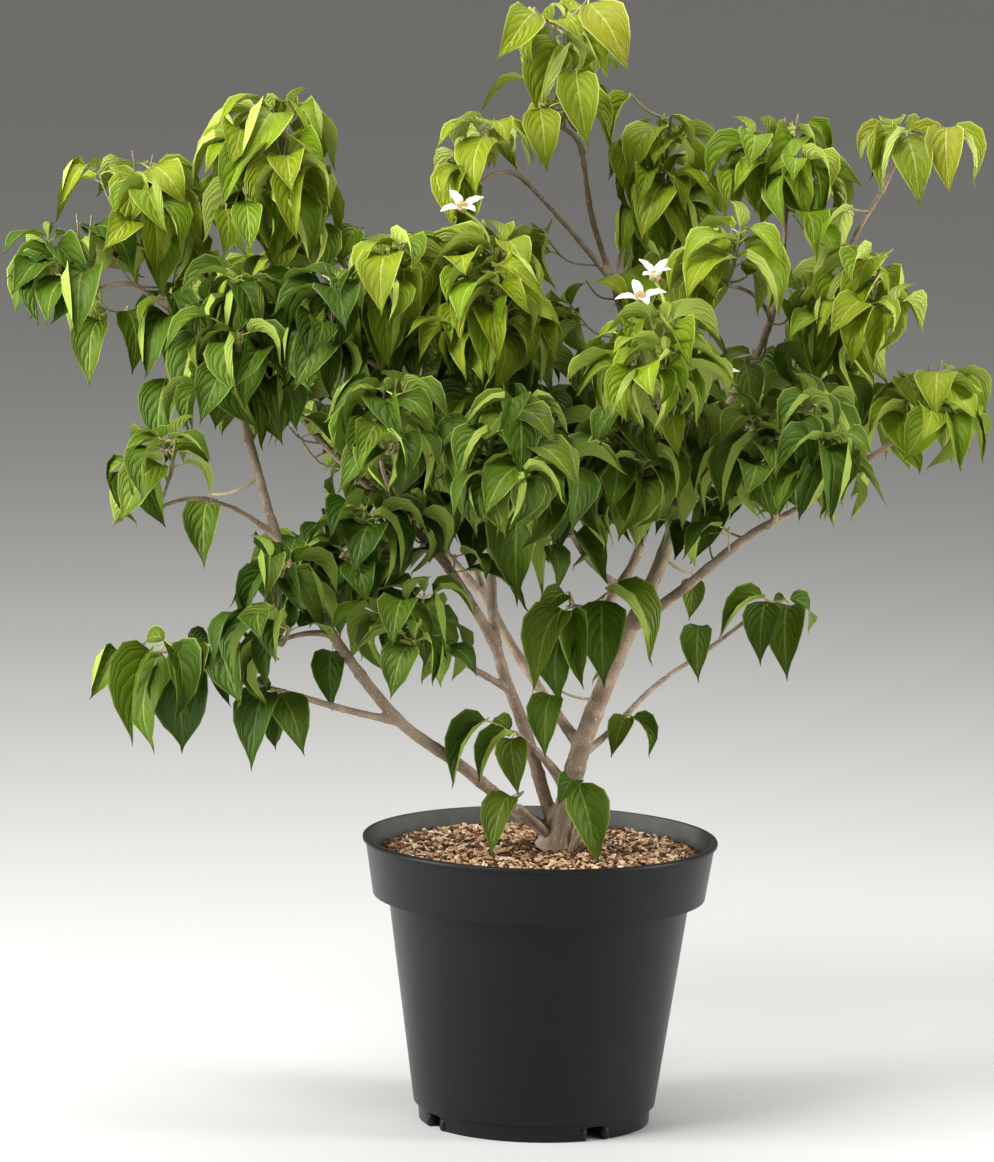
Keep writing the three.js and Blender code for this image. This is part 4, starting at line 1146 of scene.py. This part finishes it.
# %% All shoots
stems = {name: grow_stem(name, row) for name, row in MASSES.items()}
shoots = {name: [] if name in SPRIGS else grow_shoots(name, order, row)
          for order, (name, row) in enumerate(MASSES.items())}
sprigs = [sprig for found in SPRIGS.values() for sprig in found]
sprigs += [(green, (x, y + LONE_BACK, z + LONE_RISE), [((x, y, z), tip, look)])
           for green, (x, y, z), tip, look in LONE_LEAVES]
side_shoots = grow_side_shoots()
mass_shoots = sum(len(found) for found in shoots.values())
print("shoots:", mass_shoots, "in masses and", len(side_shoots), "on boughs")

# %% [markdown]
# Leaves are set in opposite pairs, each pair turned a quarter from the last, on short stalks. A leaf
# that would leave its mass's space, pass through a twig or cross another leaf is turned, tilted and
# tried again, and is left out after some tries. A search tree of triangles answers quickly whether two
# shapes cross.

# %% Space and crossings
SOIL_CLEARANCE = 2
FULLEST, LOOSEST = 1.25, 2.4
EDGE_ROOM = 6
WOOD_ROOM = 0.6
MAIN_RADII, FINER_RADII, SPRIG_RADII = (1.35, 0.95), (0.95, 0.75), (1.5, 0.9)
cad_low, cad_high = (np.array(corner) / MM for corner in cad_box)


def inside(row, points):
    """Whether all points lie in the mass's rounded box, or the crown's heart, and in the solids' reach."""
    if in_sky(points):
        return False
    if row is None:
        return heart_fill(points).max() <= FULLEST
    _, _, middle, half, _, _ = row
    fill = (np.abs((points - middle) / half) ** 3).sum(axis=1).max()
    if fill > FULLEST and heart_fill(points).max() > 1:
        return False
    low, high = points.min(axis=0), points.max(axis=0)
    reached = (low > cad_low - EDGE_ROOM).all() and (high < cad_high + EDGE_ROOM).all()
    return fill <= LOOSEST and reached and low[2] >= SOIL_TOP + SOIL_CLEARANCE


def search_tree(points, corners, sizes):
    starts = np.concatenate([[0], np.cumsum(sizes)])
    faces = [corners[a:b].tolist() for a, b in zip(starts, starts[1:])]
    return BVHTree.FromPolygons(points.tolist(), faces)


def tube_tree(tubes):
    heap = Heap()
    for line, radii in tubes:
        heap.add_tube(line, np.asarray(radii) + WOOD_ROOM, 5)
    points = np.concatenate(heap.points) / MM
    return search_tree(points, np.concatenate(heap.corners), np.concatenate(heap.sizes))


def shoot_radii(shoot):
    return np.linspace(*(FINER_RADII if shoot["finer"] else MAIN_RADII), len(shoot["line"]))


limb_tubes = [(limb["line"], limb["radii"]) for limb in limbs.values()]
every_shoot = [*side_shoots, *(shoot for found in shoots.values() for shoot in found)]
twig_tubes = [*stems.values(), *((shoot["line"], shoot_radii(shoot)) for shoot in every_shoot)]


def sprig_twig(hub):
    """A twig from the nearest wood to the place where a sprig's leaves part."""
    wood = np.concatenate([*(line for line, _ in limb_tubes), *(line for line, _ in twig_tubes)])
    apart = np.linalg.norm(wood - hub, axis=1)
    start = wood[np.argmin(apart)]
    bend = lerp(start, np.array(hub), 0.5) - UPWARD * (apart.min() * 0.15 + 0.2)
    end = np.array(hub) + UPWARD * 0.8
    return bezier(start, bend, end, 5), np.linspace(*SPRIG_RADII, 6)


sprig_tubes = [sprig_twig(hub) for _, hub, _ in sprigs]
wood_tree = tube_tree([*limb_tubes, *twig_tubes, *sprig_tubes])

# %% Setting leaves
TIERS = [(4, 34, 0.82), (12, 14, 1.0), (23, 2, 1.04)]
TURN_SPREAD, RISE_SPREAD, ROLL_SPREAD, SIZES = 0.7, 24, 0.8, (0.82, 1.06)
YOUNG_SHARE, YOUNG_RISE, YOUNG_SPREAD, YOUNG_SIZES = 0.3, 64, 20, (0.3, 0.5)
OWN_TONE_SHARE = 0.75
STALK_LENGTH, STALK_PITCH = 8, 0.45
TRIES, SWING_STEP, PITCH_STEP, SHRINK = 9, 0.3, 0.08, 0.97
NEIGHBOUR_REACH = 85
BRUSH_SHARE = 0.76
DEEP_BELOW, GREEN_BELOW = 540, 640


def leaf_matrix(foot, azimuth, pitch, roll, size):
    """Places a leaf with its foot there, its length towards the azimuth and raised by the pitch."""
    out = np.array([math.cos(azimuth), math.sin(azimuth), 0])
    along = out * math.cos(pitch) + UPWARD * math.sin(pitch)
    across = np.cross(along, UPWARD)
    across = unit(across) if np.linalg.norm(across) > 1e-6 else np.array([1.0, 0, 0])
    over = np.cross(across, along)
    side = across * math.cos(roll) + over * math.sin(roll)
    matrix = np.eye(4)
    matrix[:3, :3] = np.stack([side, along, np.cross(side, along)], axis=1) * size
    matrix[:3, 3] = foot
    return matrix


def placed_points(leaf, matrix):
    return leaf.points / MM @ matrix[:3, :3].T + matrix[:3, 3]


def metre_matrix(matrix):
    """A matrix whose place is in millimetres, for a pattern in metres."""
    moved = matrix.copy()
    moved[:3, 3] *= MM
    return moved


class Crown:
    """The leaves that are set so far."""

    def __init__(self):
        self.centres, self.trees = [], []
        self.skipped = 0

    def keep(self, centre, tree):
        self.centres.append(centre)
        self.trees.append(tree)

    def crosses(self, centre, tree):
        if tree.overlap(wood_tree):
            return True
        if not self.centres:
            return False
        near = np.linalg.norm(np.array(self.centres) - centre, axis=1) < NEIGHBOUR_REACH
        return any(tree.overlap(self.trees[k]) for k in np.nonzero(near)[0])

    def try_leaf(self, row, leaf, matrix):
        """Keeps the leaf and says so, if it fits. Margins may brush each other."""
        points = placed_points(leaf, matrix)
        if not inside(row, points):
            return False
        centre = points.mean(axis=0)
        tree = search_tree(centre + (points - centre) * BRUSH_SHARE, leaf.corners, leaf.sizes)
        if self.crosses(centre, tree):
            return False
        self.keep(centre, tree)
        return True


crown = Crown()
leaf_heaps = {green: Heap() for green in GREENS}
stalks = []


def heap_of(row, height):
    """The heap of the mass's own green. A leaf on a bough is deeper as it hangs lower."""
    if row:
        return leaf_heaps[row[5]]
    return leaf_heaps["deep" if height < DEEP_BELOW else "green" if height < GREEN_BELOW else "fresh"]


def set_leaf(row, shoot, joint, azimuth, pitch, size, tone):
    """Tries one leaf in a few directions, and sets the first that fits."""
    draw = shoot["draw"]
    leaf = leaf_patterns[int(draw() * len(leaf_patterns))]
    roll = (draw() - 0.5) * ROLL_SPREAD
    for attempt in range(TRIES):
        heading = azimuth + (attempt + 1) // 2 * SWING_STEP * (1 if attempt % 2 else -1)
        out = unit(np.array([math.cos(heading), math.sin(heading), STALK_PITCH]))
        foot = joint + out * STALK_LENGTH
        matrix = leaf_matrix(foot, heading, pitch - attempt * PITCH_STEP, roll, size)
        if crown.try_leaf(row, leaf, matrix):
            heap_of(row, foot[2]).add(leaf, metre_matrix(matrix), 2 * tone)
            stalks.append((joint, foot))
            shoot["leafy"] = True
            return
        size *= SHRINK
    crown.skipped += 1


def set_young_pair(row, shoot, tone):
    """Two small upright leaves at the shoot's very tip."""
    draw, tip = shoot["draw"], shoot["line"][-1]
    for one in range(2):
        azimuth = shoot["turn"] + (one + 0.5) * math.pi
        pitch = math.radians(YOUNG_RISE + (draw() - 0.5) * YOUNG_SPREAD)
        matrix = leaf_matrix(tip, azimuth, pitch, 0, lerp(*YOUNG_SIZES, draw()))
        if crown.try_leaf(row, young_leaf, matrix):
            heap_of(row, tip[2]).add(young_leaf, metre_matrix(matrix), 2 * tone)


def dress_shoot(row, shoot):
    """Opposite pairs of leaves, each pair a quarter turn from the last."""
    draw, line = shoot["draw"], shoot["line"]
    heading = unit(line[-1] - line[-2])
    shoot_tone = int(draw() * TONES_EACH)
    for tier, (back, rise, share) in enumerate(TIERS):
        for one in range(2):
            azimuth = shoot["turn"] + tier * math.pi / 2 + one * math.pi + (draw() - 0.5) * TURN_SPREAD
            pitch = math.radians(rise + (draw() - 0.5) * RISE_SPREAD)
            tone = shoot_tone if draw() < OWN_TONE_SHARE else (shoot_tone + 1) % TONES_EACH
            size = share * lerp(*SIZES, draw())
            set_leaf(row, shoot, line[-1] - heading * back, azimuth, pitch, size, tone)
    if not shoot["finer"] or draw() < YOUNG_SHARE:
        set_young_pair(row, shoot, shoot_tone)


# %% [markdown]
# A listed leaf has its foot and tip given. It is turned so that its own tip points to the place
# asked for and its upper side faces outward, upward and to the front, and it is then drawn to length.

# %% Setting the listed leaves
FRONT = np.array([0, -1.0, 0])
HAND_WIDTH, FACING_SHARE = 0.84, 0.6


def turned_frame(along, over):
    """Three directions: across a leaf, along it, and out of its upper side."""
    along = unit(along)
    over = unit(over - along * (over @ along))
    return np.stack([np.cross(along, over), along, over], axis=1)


def aimed_matrix(leaf, foot, tip):
    """Places a leaf with its foot and tip there."""
    own_tip = leaf.points[leaf.corners[np.argmax(leaf.places[:, 1])]] / MM
    chord = np.subtract(tip, foot).astype(float)
    facing = FRONT + FACING_SHARE * UPWARD + FACING_SHARE * unit(chord * (1, 1, 0.01))
    turned = turned_frame(chord, facing) @ turned_frame(own_tip, UPWARD).T
    matrix = np.eye(4)
    matrix[:3, :3] = turned @ np.diag([HAND_WIDTH, 1, 1]) * np.linalg.norm(chord) / np.linalg.norm(own_tip)
    matrix[:3, 3] = foot
    return matrix


hand_patterns = [*leaf_patterns, hanging_leaf]
through_wood = 0
for green, hub, leaves in sprigs:
    for foot, tip, look in leaves:
        leaf = hand_patterns[look]
        matrix = aimed_matrix(leaf, foot, tip)
        leaf_heaps[green].add(leaf, metre_matrix(matrix), 2 * (len(stalks) % TONES_EACH))
        points = placed_points(leaf, matrix)
        tree = search_tree(points, leaf.corners, leaf.sizes)
        crown.keep(points.mean(axis=0), tree)
        through_wood += bool(tree.overlap(wood_tree))
        stalks.append((np.array(hub, float), np.array(foot, float)))
print("leaves set by hand:", len(stalks), "of which", through_wood, "touch wood")

# %% Dressing every shoot
for finer in (False, True):
    for name, row in MASSES.items():
        for shoot in shoots[name]:
            if shoot["finer"] == finer:
                dress_shoot(row, shoot)
for shoot in side_shoots:
    dress_shoot(None, shoot)
print("leaves:", len(stalks), "set,", crown.skipped, "left out")

# %% Leaf pieces
for green, heap in leaf_heaps.items():
    piece = heap.build(f"leaves_{green}", leaf_materials[green])
    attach(piece, "root")
    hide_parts(*[f"foliage_{name}" for name, row in MASSES.items() if row[5] == green])

# %% [markdown]
# Twigs and stalks are tubes made from arrays. The woody stems share the bark, the young shoots are
# green-brown, and the leaf stalks are yellow-green.

# %% Twigs
shoot_finish = bark_finish("young_shoot", "7c6f52", "8f8462", "a59a74", 0.6)
stalk_finish = Finish("leaf_stalk")
stalk_stops = [(0.38, "b0763a"), (0.48, "9aa43c"), (0.62, "b3b95c")]
stalk_colour = stalk_finish.ramp(stalk_finish.noise(90), stalk_stops)
stalk_skin = stalk_finish.finish(stalk_finish.skin(stalk_colour, 0.5))
BASE_STUBS = [
    ([(12, -5, 224), (0, -13, 236), (-18, -20, 253)], (4.4, 3.4), 0),
    ([(16, -20, 215), (20, -23, 240), (26, -26, 263)], (0.9, 0.6), 1),
    ([(22, -22, 214), (29, -26, 240)], (2.0, 1.1), 1),
    ([(24, -10, 216), (34, -14, 236), (38, -14, 250)], (2.6, 1.8), 0),
]
STUB_SPACING = 4
BARK_TONE, SHOOT_TONE, STALK_TONE = 0, 1, 2
STALK_RADII, STALK_ARCH, STALK_OVERLAP = [0.85, 0.62, 0.5], 0.8, 1.2
twigs = Heap()
for line, radii in stems.values():
    twigs.add_tube(line, radii, 8, BARK_TONE)
leafy_shoots = [shoot for shoot in every_shoot if "leafy" in shoot]
print("shoots without a leaf, left out:", len(every_shoot) - len(leafy_shoots))
for shoot in leafy_shoots:
    twigs.add_tube(shoot["line"], shoot_radii(shoot), 6, SHOOT_TONE)
for line, radii in sprig_tubes:
    twigs.add_tube(line, radii, 6, SHOOT_TONE)
for points, (thick, thin), tone in BASE_STUBS:
    line = smooth_line(points, STUB_SPACING)
    twigs.add_tube(line, np.linspace(thick, thin, len(line)), 9, tone)
for joint, foot in stalks:
    bend = lerp(joint, foot, 0.5) + UPWARD * STALK_ARCH
    end = foot + unit(foot - joint) * STALK_OVERLAP
    twigs.add_tube(np.array([joint, bend, end]), STALK_RADII, 5, STALK_TONE)
twig_piece = twigs.build("twigs", [bark, shoot_finish, stalk_skin])
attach(twig_piece, "root")

# %% [markdown]
# The pot. A nursery pot is blown or moulded in one wall: a thin lip, a straight collar, a step in, a
# tapered body, and a foot ring with drain notches. It is made as a turner would: a disc is added, and
# its edge is extruded up and drawn in or out, step by step along the profile.

# %% Pot
POT_SIDES = 128
POT_STEPS = [
    (32, 0), (34, 14), (84, 14), (85, 0), (91, 0), (92, 13), (95.5, 14), (119, 180), (131, 180),
    (137.6, 222), (140, 222.8), (140, 225.2), (139.2, 226), (135.4, 226), (128.8, 182.2), (116.8, 182.2),
    (93.3, 16.2), (40, 16.2), (4, 16.2),
]
RING_RADIUS = 89
NOTCH_REACH, NOTCH_WIDTH, NOTCH_DEPTH, NOTCH_ROUND = 30, 16, 11, 3
NOTCH_ANGLES = [math.radians(32 + 90 * k) for k in range(4)]
KNOB_RADIUS, KNOB_HEIGHT, KNOB_ROUND = 4, 10, 2
EDGE_ROUND, EDGE_ANGLE, POT_SMOOTH = 0.7, math.radians(28), math.radians(32)


def turned_body(name, sides, steps):
    """A closed round body: a disc whose edge is drawn along the profile's radii and heights."""
    (radius, height), *others = steps
    deselect()
    bpy.ops.mesh.primitive_circle_add(vertices=sides, radius=radius * MM, fill_type="NOTHING",
                                      location=(0, 0, height * MM))
    piece = bpy.context.object
    piece.name = piece.data.name = name
    bpy.ops.object.transform_apply(location=True)
    bpy.ops.object.mode_set(mode="EDIT")
    bpy.ops.mesh.edge_face_add()
    bpy.ops.mesh.select_all(action="SELECT")
    for next_radius, next_height in others:
        growth = next_radius / radius
        bpy.ops.mesh.extrude_edges_move()
        bpy.ops.transform.resize(value=(growth, growth, 1), center_override=(0, 0, 0))
        bpy.ops.transform.translate(value=(0, 0, (next_height - height) * MM))
        radius, height = next_radius, next_height
    bpy.ops.mesh.edge_face_add()
    bpy.ops.mesh.select_all(action="SELECT")
    bpy.ops.mesh.normals_make_consistent(inside=False)
    bpy.ops.object.mode_set(mode="OBJECT")
    return piece


def ring_place(angle, height):
    return (RING_RADIUS * MM * math.cos(angle), RING_RADIUS * MM * math.sin(angle), height * MM)


pot = turned_body("nursery_pot", POT_SIDES, POT_STEPS)
for angle in NOTCH_ANGLES:
    deselect()
    bpy.ops.mesh.primitive_cube_add(size=1, rotation=(0, 0, angle), location=ring_place(angle, 0))
    cutter = bpy.context.object
    cutter.scale = (NOTCH_REACH * MM, NOTCH_WIDTH * MM, NOTCH_DEPTH * 2 * MM)
    bpy.ops.object.transform_apply(location=True, rotation=True, scale=True)
    apply_modifier(cutter, "BEVEL", width=NOTCH_ROUND * MM, segments=3)
    apply_modifier(pot, "BOOLEAN", object=cutter, operation="DIFFERENCE", solver="EXACT")
    bpy.data.objects.remove(cutter)
apply_modifier(pot, "BEVEL", width=EDGE_ROUND * MM, segments=2, limit_method="ANGLE",
               angle_limit=EDGE_ANGLE)
select_only(pot)
bpy.ops.object.shade_smooth_by_angle(angle=POT_SMOOTH)
print("pot:", len(pot.data.polygons), "faces")

# %% Foot knobs
knobs = []
for angle in NOTCH_ANGLES:
    for side in (-1, 1):
        beside = angle + side * (NOTCH_WIDTH / 2 + KNOB_RADIUS * 0.6) / RING_RADIUS
        bpy.ops.mesh.primitive_cylinder_add(vertices=16, radius=KNOB_RADIUS * MM, depth=KNOB_HEIGHT * MM,
                                            location=ring_place(beside, KNOB_HEIGHT / 2))
        apply_modifier(bpy.context.object, "BEVEL", width=KNOB_ROUND * MM, segments=3, limit_method="ANGLE")
        knobs.append(bpy.context.object)
foot_knobs = join_all(knobs, "foot_knobs")
bpy.ops.object.transform_apply(location=True, rotation=True, scale=True)
bpy.ops.object.shade_smooth_by_angle(angle=POT_SMOOTH)
print("foot knobs:", len(knobs))

# %% Pot plastic
pot_finish = Finish("charcoal_plastic")
pot_place = pot_finish.node("ShaderNodeTexCoord", output="Object")
pot_haze = pot_finish.noise(9, 3, pot_place)
pot_grain = pot_finish.noise(1400, 2, pot_place)
pot_colour = pot_finish.blend(pot_haze, "101112", "17181a")
pot_roughness = 0.29 + pot_haze * 0.08 + pot_grain * 0.06
pot_skin = pot_finish.skin(pot_colour, pot_roughness, pot_finish.bump(pot_grain, 0.12, 0.35), 0.18)
pot_material = pot_finish.finish(pot_skin)
pot.data.materials.append(pot_material)
foot_knobs.data.materials.append(pot_material)
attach(foot_knobs, "root")

dust = Finish("dusty_plastic")
dust_cloud = dust.noise(60, 4)
dust_colour = dust.blend(dust_cloud, "3c3c3a", "6a6965")
pot.data.materials.append(dust.finish(dust.skin(dust_colour, 0.75 + dust_cloud * 0.15)))
DUST_FROM = 186
for face in pot.data.polygons:
    inward = face.normal.x * face.center.x + face.normal.y * face.center.y < 0
    face.material_index = int(inward and face.center.z > DUST_FROM * MM)
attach(pot, "root")
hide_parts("pot")
print("dusty faces:", sum(face.material_index for face in pot.data.polygons))

# %% [markdown]
# Compost and chips. The compost is a shallow mound, turned from a disc as the pot is, with a cloud
# displacement on its top. Bark chips lie on it: a chip is modelled from a bevelled, tapered block, and
# thousands of copies of four such chips are strewn at seeded places, turns and sizes. Chips near the pot
# wall and round the trunk foot are dealt the darker browns more often, as painted shade.

# %% Compost
COMPOST_STEPS = [
    (92.5, 17), (90.5, 17), (114, 182.5), (126, 182.8), (130.6, 205), (130, 209), (126, 211.5),
    (119, 213.5), (110, 214.5), (100, 215), (88, 215.5), (76, 216), (64, 216.5), (52, 217), (40, 217),
    (28, 217), (16, 217), (6, 217),
]
COMPOST_EDGE, COMPOST_SIDES = 205, 96
compost = turned_body("compost", COMPOST_SIDES, COMPOST_STEPS)
apply_modifier(compost, "SUBSURF", subdivision_type="SIMPLE", levels=2, render_levels=2)
crumbly = compost.vertex_groups.new(name="top")
crumbly.add([v.index for v in compost.data.vertices if v.co.z > COMPOST_EDGE * MM], 1, "REPLACE")
displace(compost, "clods", 7, 4, mid_level=0.6, vertex_group="top")
print("compost:", len(compost.data.polygons), "faces")

# %% Compost colour
compost_finish = Finish("moist_compost")
crumbs = compost_finish.noise(420, 4)
clods = compost_finish.noise(90, 3)
compost_stops = [(0.3, "110a06"), (0.52, "2a190f"), (0.75, "54361f")]
compost_colour = compost_finish.ramp(crumbs * 0.6 + clods * 0.4, compost_stops)
compost_relief = compost_finish.bump(crumbs + clods, 2, 0.9)
compost_skin = compost_finish.skin(compost_colour, 0.95, compost_relief)
compost.data.materials.append(compost_finish.finish(compost_skin))
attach(compost, "root")
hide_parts("potting_soil")

# %% Chips
CHIP_COUNT, CHIP_SIZES = 4200, (0.42, 0.95)
CHIP_REACH, TRUNK_ROOM, CHIP_LIFT = 127, 17, 2.6
CHIP_TURNS = (0.5, 0.9, 1.2)
# Painted shade: chips beyond this ring, or this near the trunk, are pushed towards darker browns by this
# share.
SHADED_BEYOND, SHADED_NEAR_TRUNK, PAINTED_SHADE_SHARE = 118, 34, 0.4
MOUND_RINGS, MOUND_HEIGHTS = [48, 112, 130], [216.6, 214.2, 209.6]
CHIP_CODES = ["dcb892", "bf956c", "9a6a45", "6b4229", "3d2416", "ecd6b4"]
CHIP_DEAL = [5, 0, 0, 1, 1, 2, 3, 3, 4, 4]
CHIP_SHAPES = {
    "chip_long": (11, 3.2, 2.0, 0.5), "chip_square": (7, 5, 2.4, 0.8),
    "chip_crumb": (5, 3.6, 3.0, 0.7), "chip_flake": (9, 6, 1.4, 0.6),
}


def grained_finish(name, code, scale, tones, roughness, relief):
    """One colour in two tones, with a fine grain in relief."""
    f = Finish(name)
    grain = f.noise(scale)
    return f.finish(f.skin(f.two_tones(grain, code, *tones), roughness, f.bump(grain, *relief)))


def modelled_chip(name, length, width, height, pinch):
    """A splinter: a block, one end drawn to a wedge and its edges bevelled."""
    deselect()
    bpy.ops.mesh.primitive_cube_add(size=1)
    chip = bpy.context.object
    chip.name = name
    bpy.ops.object.mode_set(mode="EDIT")
    bpy.ops.transform.resize(value=(length * MM, width * MM, height * MM))
    bpy.ops.object.mode_set(mode="OBJECT")
    end = {v.index for v in chip.data.vertices if v.co.x > 0}
    bpy.ops.object.mode_set(mode="EDIT")
    select_points(chip, end)
    bpy.ops.transform.resize(value=(1, pinch, 0.5), center_override=(0, 0, 0))
    bpy.ops.transform.translate(value=(0, width * 0.2 * MM, height * 0.3 * MM))
    bpy.ops.object.mode_set(mode="OBJECT")
    apply_modifier(chip, "BEVEL", width=height * 0.22 * MM, segments=1)
    return Pattern(chip)


chip_patterns = [modelled_chip(name, *shape) for name, shape in CHIP_SHAPES.items()]
chips = Heap()
chip_draw = seeded_draws(77)
trunk_foot = np.array(LIMBS["trunk"][3][0][:2])
for k in range(CHIP_COUNT):
    ring = CHIP_REACH * math.sqrt((k + 0.5) / CHIP_COUNT)
    azimuth = k * GOLDEN_ANGLE + (chip_draw() - 0.5) * CHIP_TURNS[0]
    place = np.array([ring * math.cos(azimuth), ring * math.sin(azimuth)])
    off_trunk = np.linalg.norm(place - trunk_foot)
    if off_trunk < TRUNK_ROOM:
        continue
    height = np.interp(ring, MOUND_RINGS, MOUND_HEIGHTS) + chip_draw() * CHIP_LIFT
    heading = chip_draw() * 2 * math.pi
    pitch, roll = [(chip_draw() - 0.5) * spread for spread in CHIP_TURNS[1:]]
    matrix = leaf_matrix(np.array([*place, height]), heading, pitch, roll, lerp(*CHIP_SIZES, chip_draw()))
    # Painted shade: near the pot wall and round the trunk foot the draw leans to the darker browns.
    painted_shade = PAINTED_SHADE_SHARE if ring > SHADED_BEYOND or off_trunk < SHADED_NEAR_TRUNK else 0
    shade = min(0.999, chip_draw() * (1 - painted_shade) + painted_shade)
    pattern = chip_patterns[int(chip_draw() * len(chip_patterns))]
    chips.add(pattern, metre_matrix(matrix), CHIP_DEAL[int(shade * len(CHIP_DEAL))])
chip_finishes = [grained_finish(f"chip_{k}", code, 700, (0.7, 1.2), 0.8, (0.4, 0.6))
                 for k, code in enumerate(CHIP_CODES)]
chip_piece = chips.build("bark_chips", chip_finishes)
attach(chip_piece, "root")

# %% [markdown]
# Blooms. What looks like a white flower is four bracts in a cross round a small green-brown ball of
# true flowers. One bract is modelled like a leaf, broader and cupped, and the ball is a small sphere
# with some of its points pulled out. Four blooms stand where the photo shows them: a row says the
# bloom's place, its lean, how far its bracts rise, and its turn. The same balls serve as unripe fruits.

# %% Bracts and balls
BRACT_LENGTH, BRACT_ACROSS, BRACT_ALONG = 21, 6, 8


def modelled_bract():
    """A cupped bract: rows drawn in to the outline and lifted, then the margins lifted and waved."""
    bract = flat_grid("bract_model", BRACT_ACROSS, BRACT_ALONG)
    rows = grid_rows(bract)
    bpy.ops.object.mode_set(mode="EDIT")
    bpy.ops.mesh.select_all(action="SELECT")
    bpy.ops.transform.resize(value=(MM, BRACT_LENGTH * MM, 1), center_override=(0, 0, 0))
    for k, row in enumerate(rows):
        t = k / BRACT_ALONG
        half = BRACT_LENGTH * 0.5 * (t + 0.06) ** 0.75 * (1 - t) ** 0.8
        rise = BRACT_LENGTH * MM * (0.16 * math.sin(t * 2.6) - 0.1 * t * t)
        select_points(bract, set(row))
        bpy.ops.transform.resize(value=(max(half, 0.25), 1, 1), center_override=(0, 0, 0))
        bpy.ops.transform.translate(value=(0, 0, rise))
        for column in (0, BRACT_ACROSS):
            wave = half * 0.28 * MM * (1 + 0.5 * math.sin(k * 2.3 + column))
            select_points(bract, {row[column]})
            bpy.ops.transform.translate(value=(0, 0, wave))
    for row in (rows[0], rows[-1]):
        select_points(bract, set(row))
        bpy.ops.mesh.merge(type="CENTER")
    bpy.ops.object.mode_set(mode="OBJECT")
    apply_modifier(bract, "SOLIDIFY", thickness=0.5 * MM, offset=0)
    return Pattern(bract)


def modelled_ball():
    """A small sphere with its twelve five-edged points and a seventh of the others pulled out."""
    deselect()
    bpy.ops.mesh.primitive_ico_sphere_add(subdivisions=3, radius=4.2 * MM)
    ball = bpy.context.object
    edge_counts = np.bincount(np.array([edge.vertices[:] for edge in ball.data.edges]).ravel())
    pulled = {index for index, count in enumerate(edge_counts) if count == 5 or index % 7 == 3}
    bpy.ops.object.mode_set(mode="EDIT")
    select_points(ball, pulled)
    bpy.ops.transform.resize(value=(1.2, 1.2, 1.2), center_override=(0, 0, 0))
    bpy.ops.object.mode_set(mode="OBJECT")
    return Pattern(ball)


bract_pattern = modelled_bract()
ball_pattern = modelled_ball()
print("bract:", len(bract_pattern.sizes), "faces, ball:", len(ball_pattern.sizes))

# %% Blooms
STALK_RISE, SECOND_PAIR_RISE, FRUIT_SIZE, FRUIT_RADIUS = 26, 10, 1.15, 0.8
FRONT_BLOOMS = [
    ((66, -190, 675), 24, 12, 0.3), ((77, -150, 686), 20, 34, 1.0), ((-71, -100, 731), 26, 16, 0.6),
    ((124, -120, 608), 20, 14, 0.2),
]
BACK_BLOOMS, BACK_RISE = ("back_mid", "back_low"), 14
FRUITS = [(-22, -112, 573), (-14, -112, 572), (-18, -115, 565)]
blooms = Heap()
bloom_draw = seeded_draws(91)


def add_bloom(foot, top, lean, rise, turn):
    """Four bracts and their ball on a stalk, leaned to the front. The second pair is raised more."""
    tilt = np.array(Matrix.Rotation(math.radians(lean), 4, "X"))
    blooms.add_tube(bezier(foot, foot + UPWARD * STALK_RISE * 0.6, top, 4), np.linspace(0.9, 1.2, 5), 7, 2)
    for k in range(4):
        pitch = math.radians(rise + k % 2 * SECOND_PAIR_RISE)
        size = lerp(0.9, 1.0, bloom_draw())
        matrix = tilt @ leaf_matrix(np.zeros(3), turn + k * math.pi / 2, pitch, 0, size)
        matrix[:3, 3] = top
        blooms.add(bract_pattern, metre_matrix(matrix), 0)
    middle = top + tilt[:3, :3] @ (UPWARD * 3)
    blooms.add(ball_pattern, metre_matrix(leaf_matrix(middle, turn, 0, 0, 1)), 1)


def nearest_tip(place):
    tips = np.array([shoot["line"][-1] for shoot in every_shoot])
    return tips[np.argmin(np.linalg.norm(tips - place, axis=1))]


for place, lean, rise, turn in FRONT_BLOOMS:
    add_bloom(nearest_tip(place), np.array(place, float), lean, rise, turn)
for name in BACK_BLOOMS:
    foot = shoots[name][0]["line"][-1]
    add_bloom(foot, foot + UPWARD * STALK_RISE, 0, BACK_RISE, shoots[name][0]["turn"])
foot = nearest_tip(FRUITS[0])
for place in np.array(FRUITS, float):
    bend = lerp(foot, place, 0.5) + UPWARD * 4
    blooms.add_tube(bezier(foot, bend, place, 4), np.full(5, FRUIT_RADIUS), 7, 2)
    blooms.add(ball_pattern, metre_matrix(leaf_matrix(place, 0, 0, 0, FRUIT_SIZE)), 1)
BLOOM_FINISHES = {
    "bract_white": ("fbf9ea", 0.5), "flower_ball": ("a48a56", 0.6), "bloom_stalk": ("9cae52", 0.5),
}
bloom_finishes = [grained_finish(name, code, 120, (0.86, 1.08), roughness, (0.3, 0.3))
                  for name, (code, roughness) in BLOOM_FINISHES.items()]
bloom_piece = blooms.build("blooms", bloom_finishes)
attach(bloom_piece, "root")

# %% Final update
bpy.context.view_layer.update()
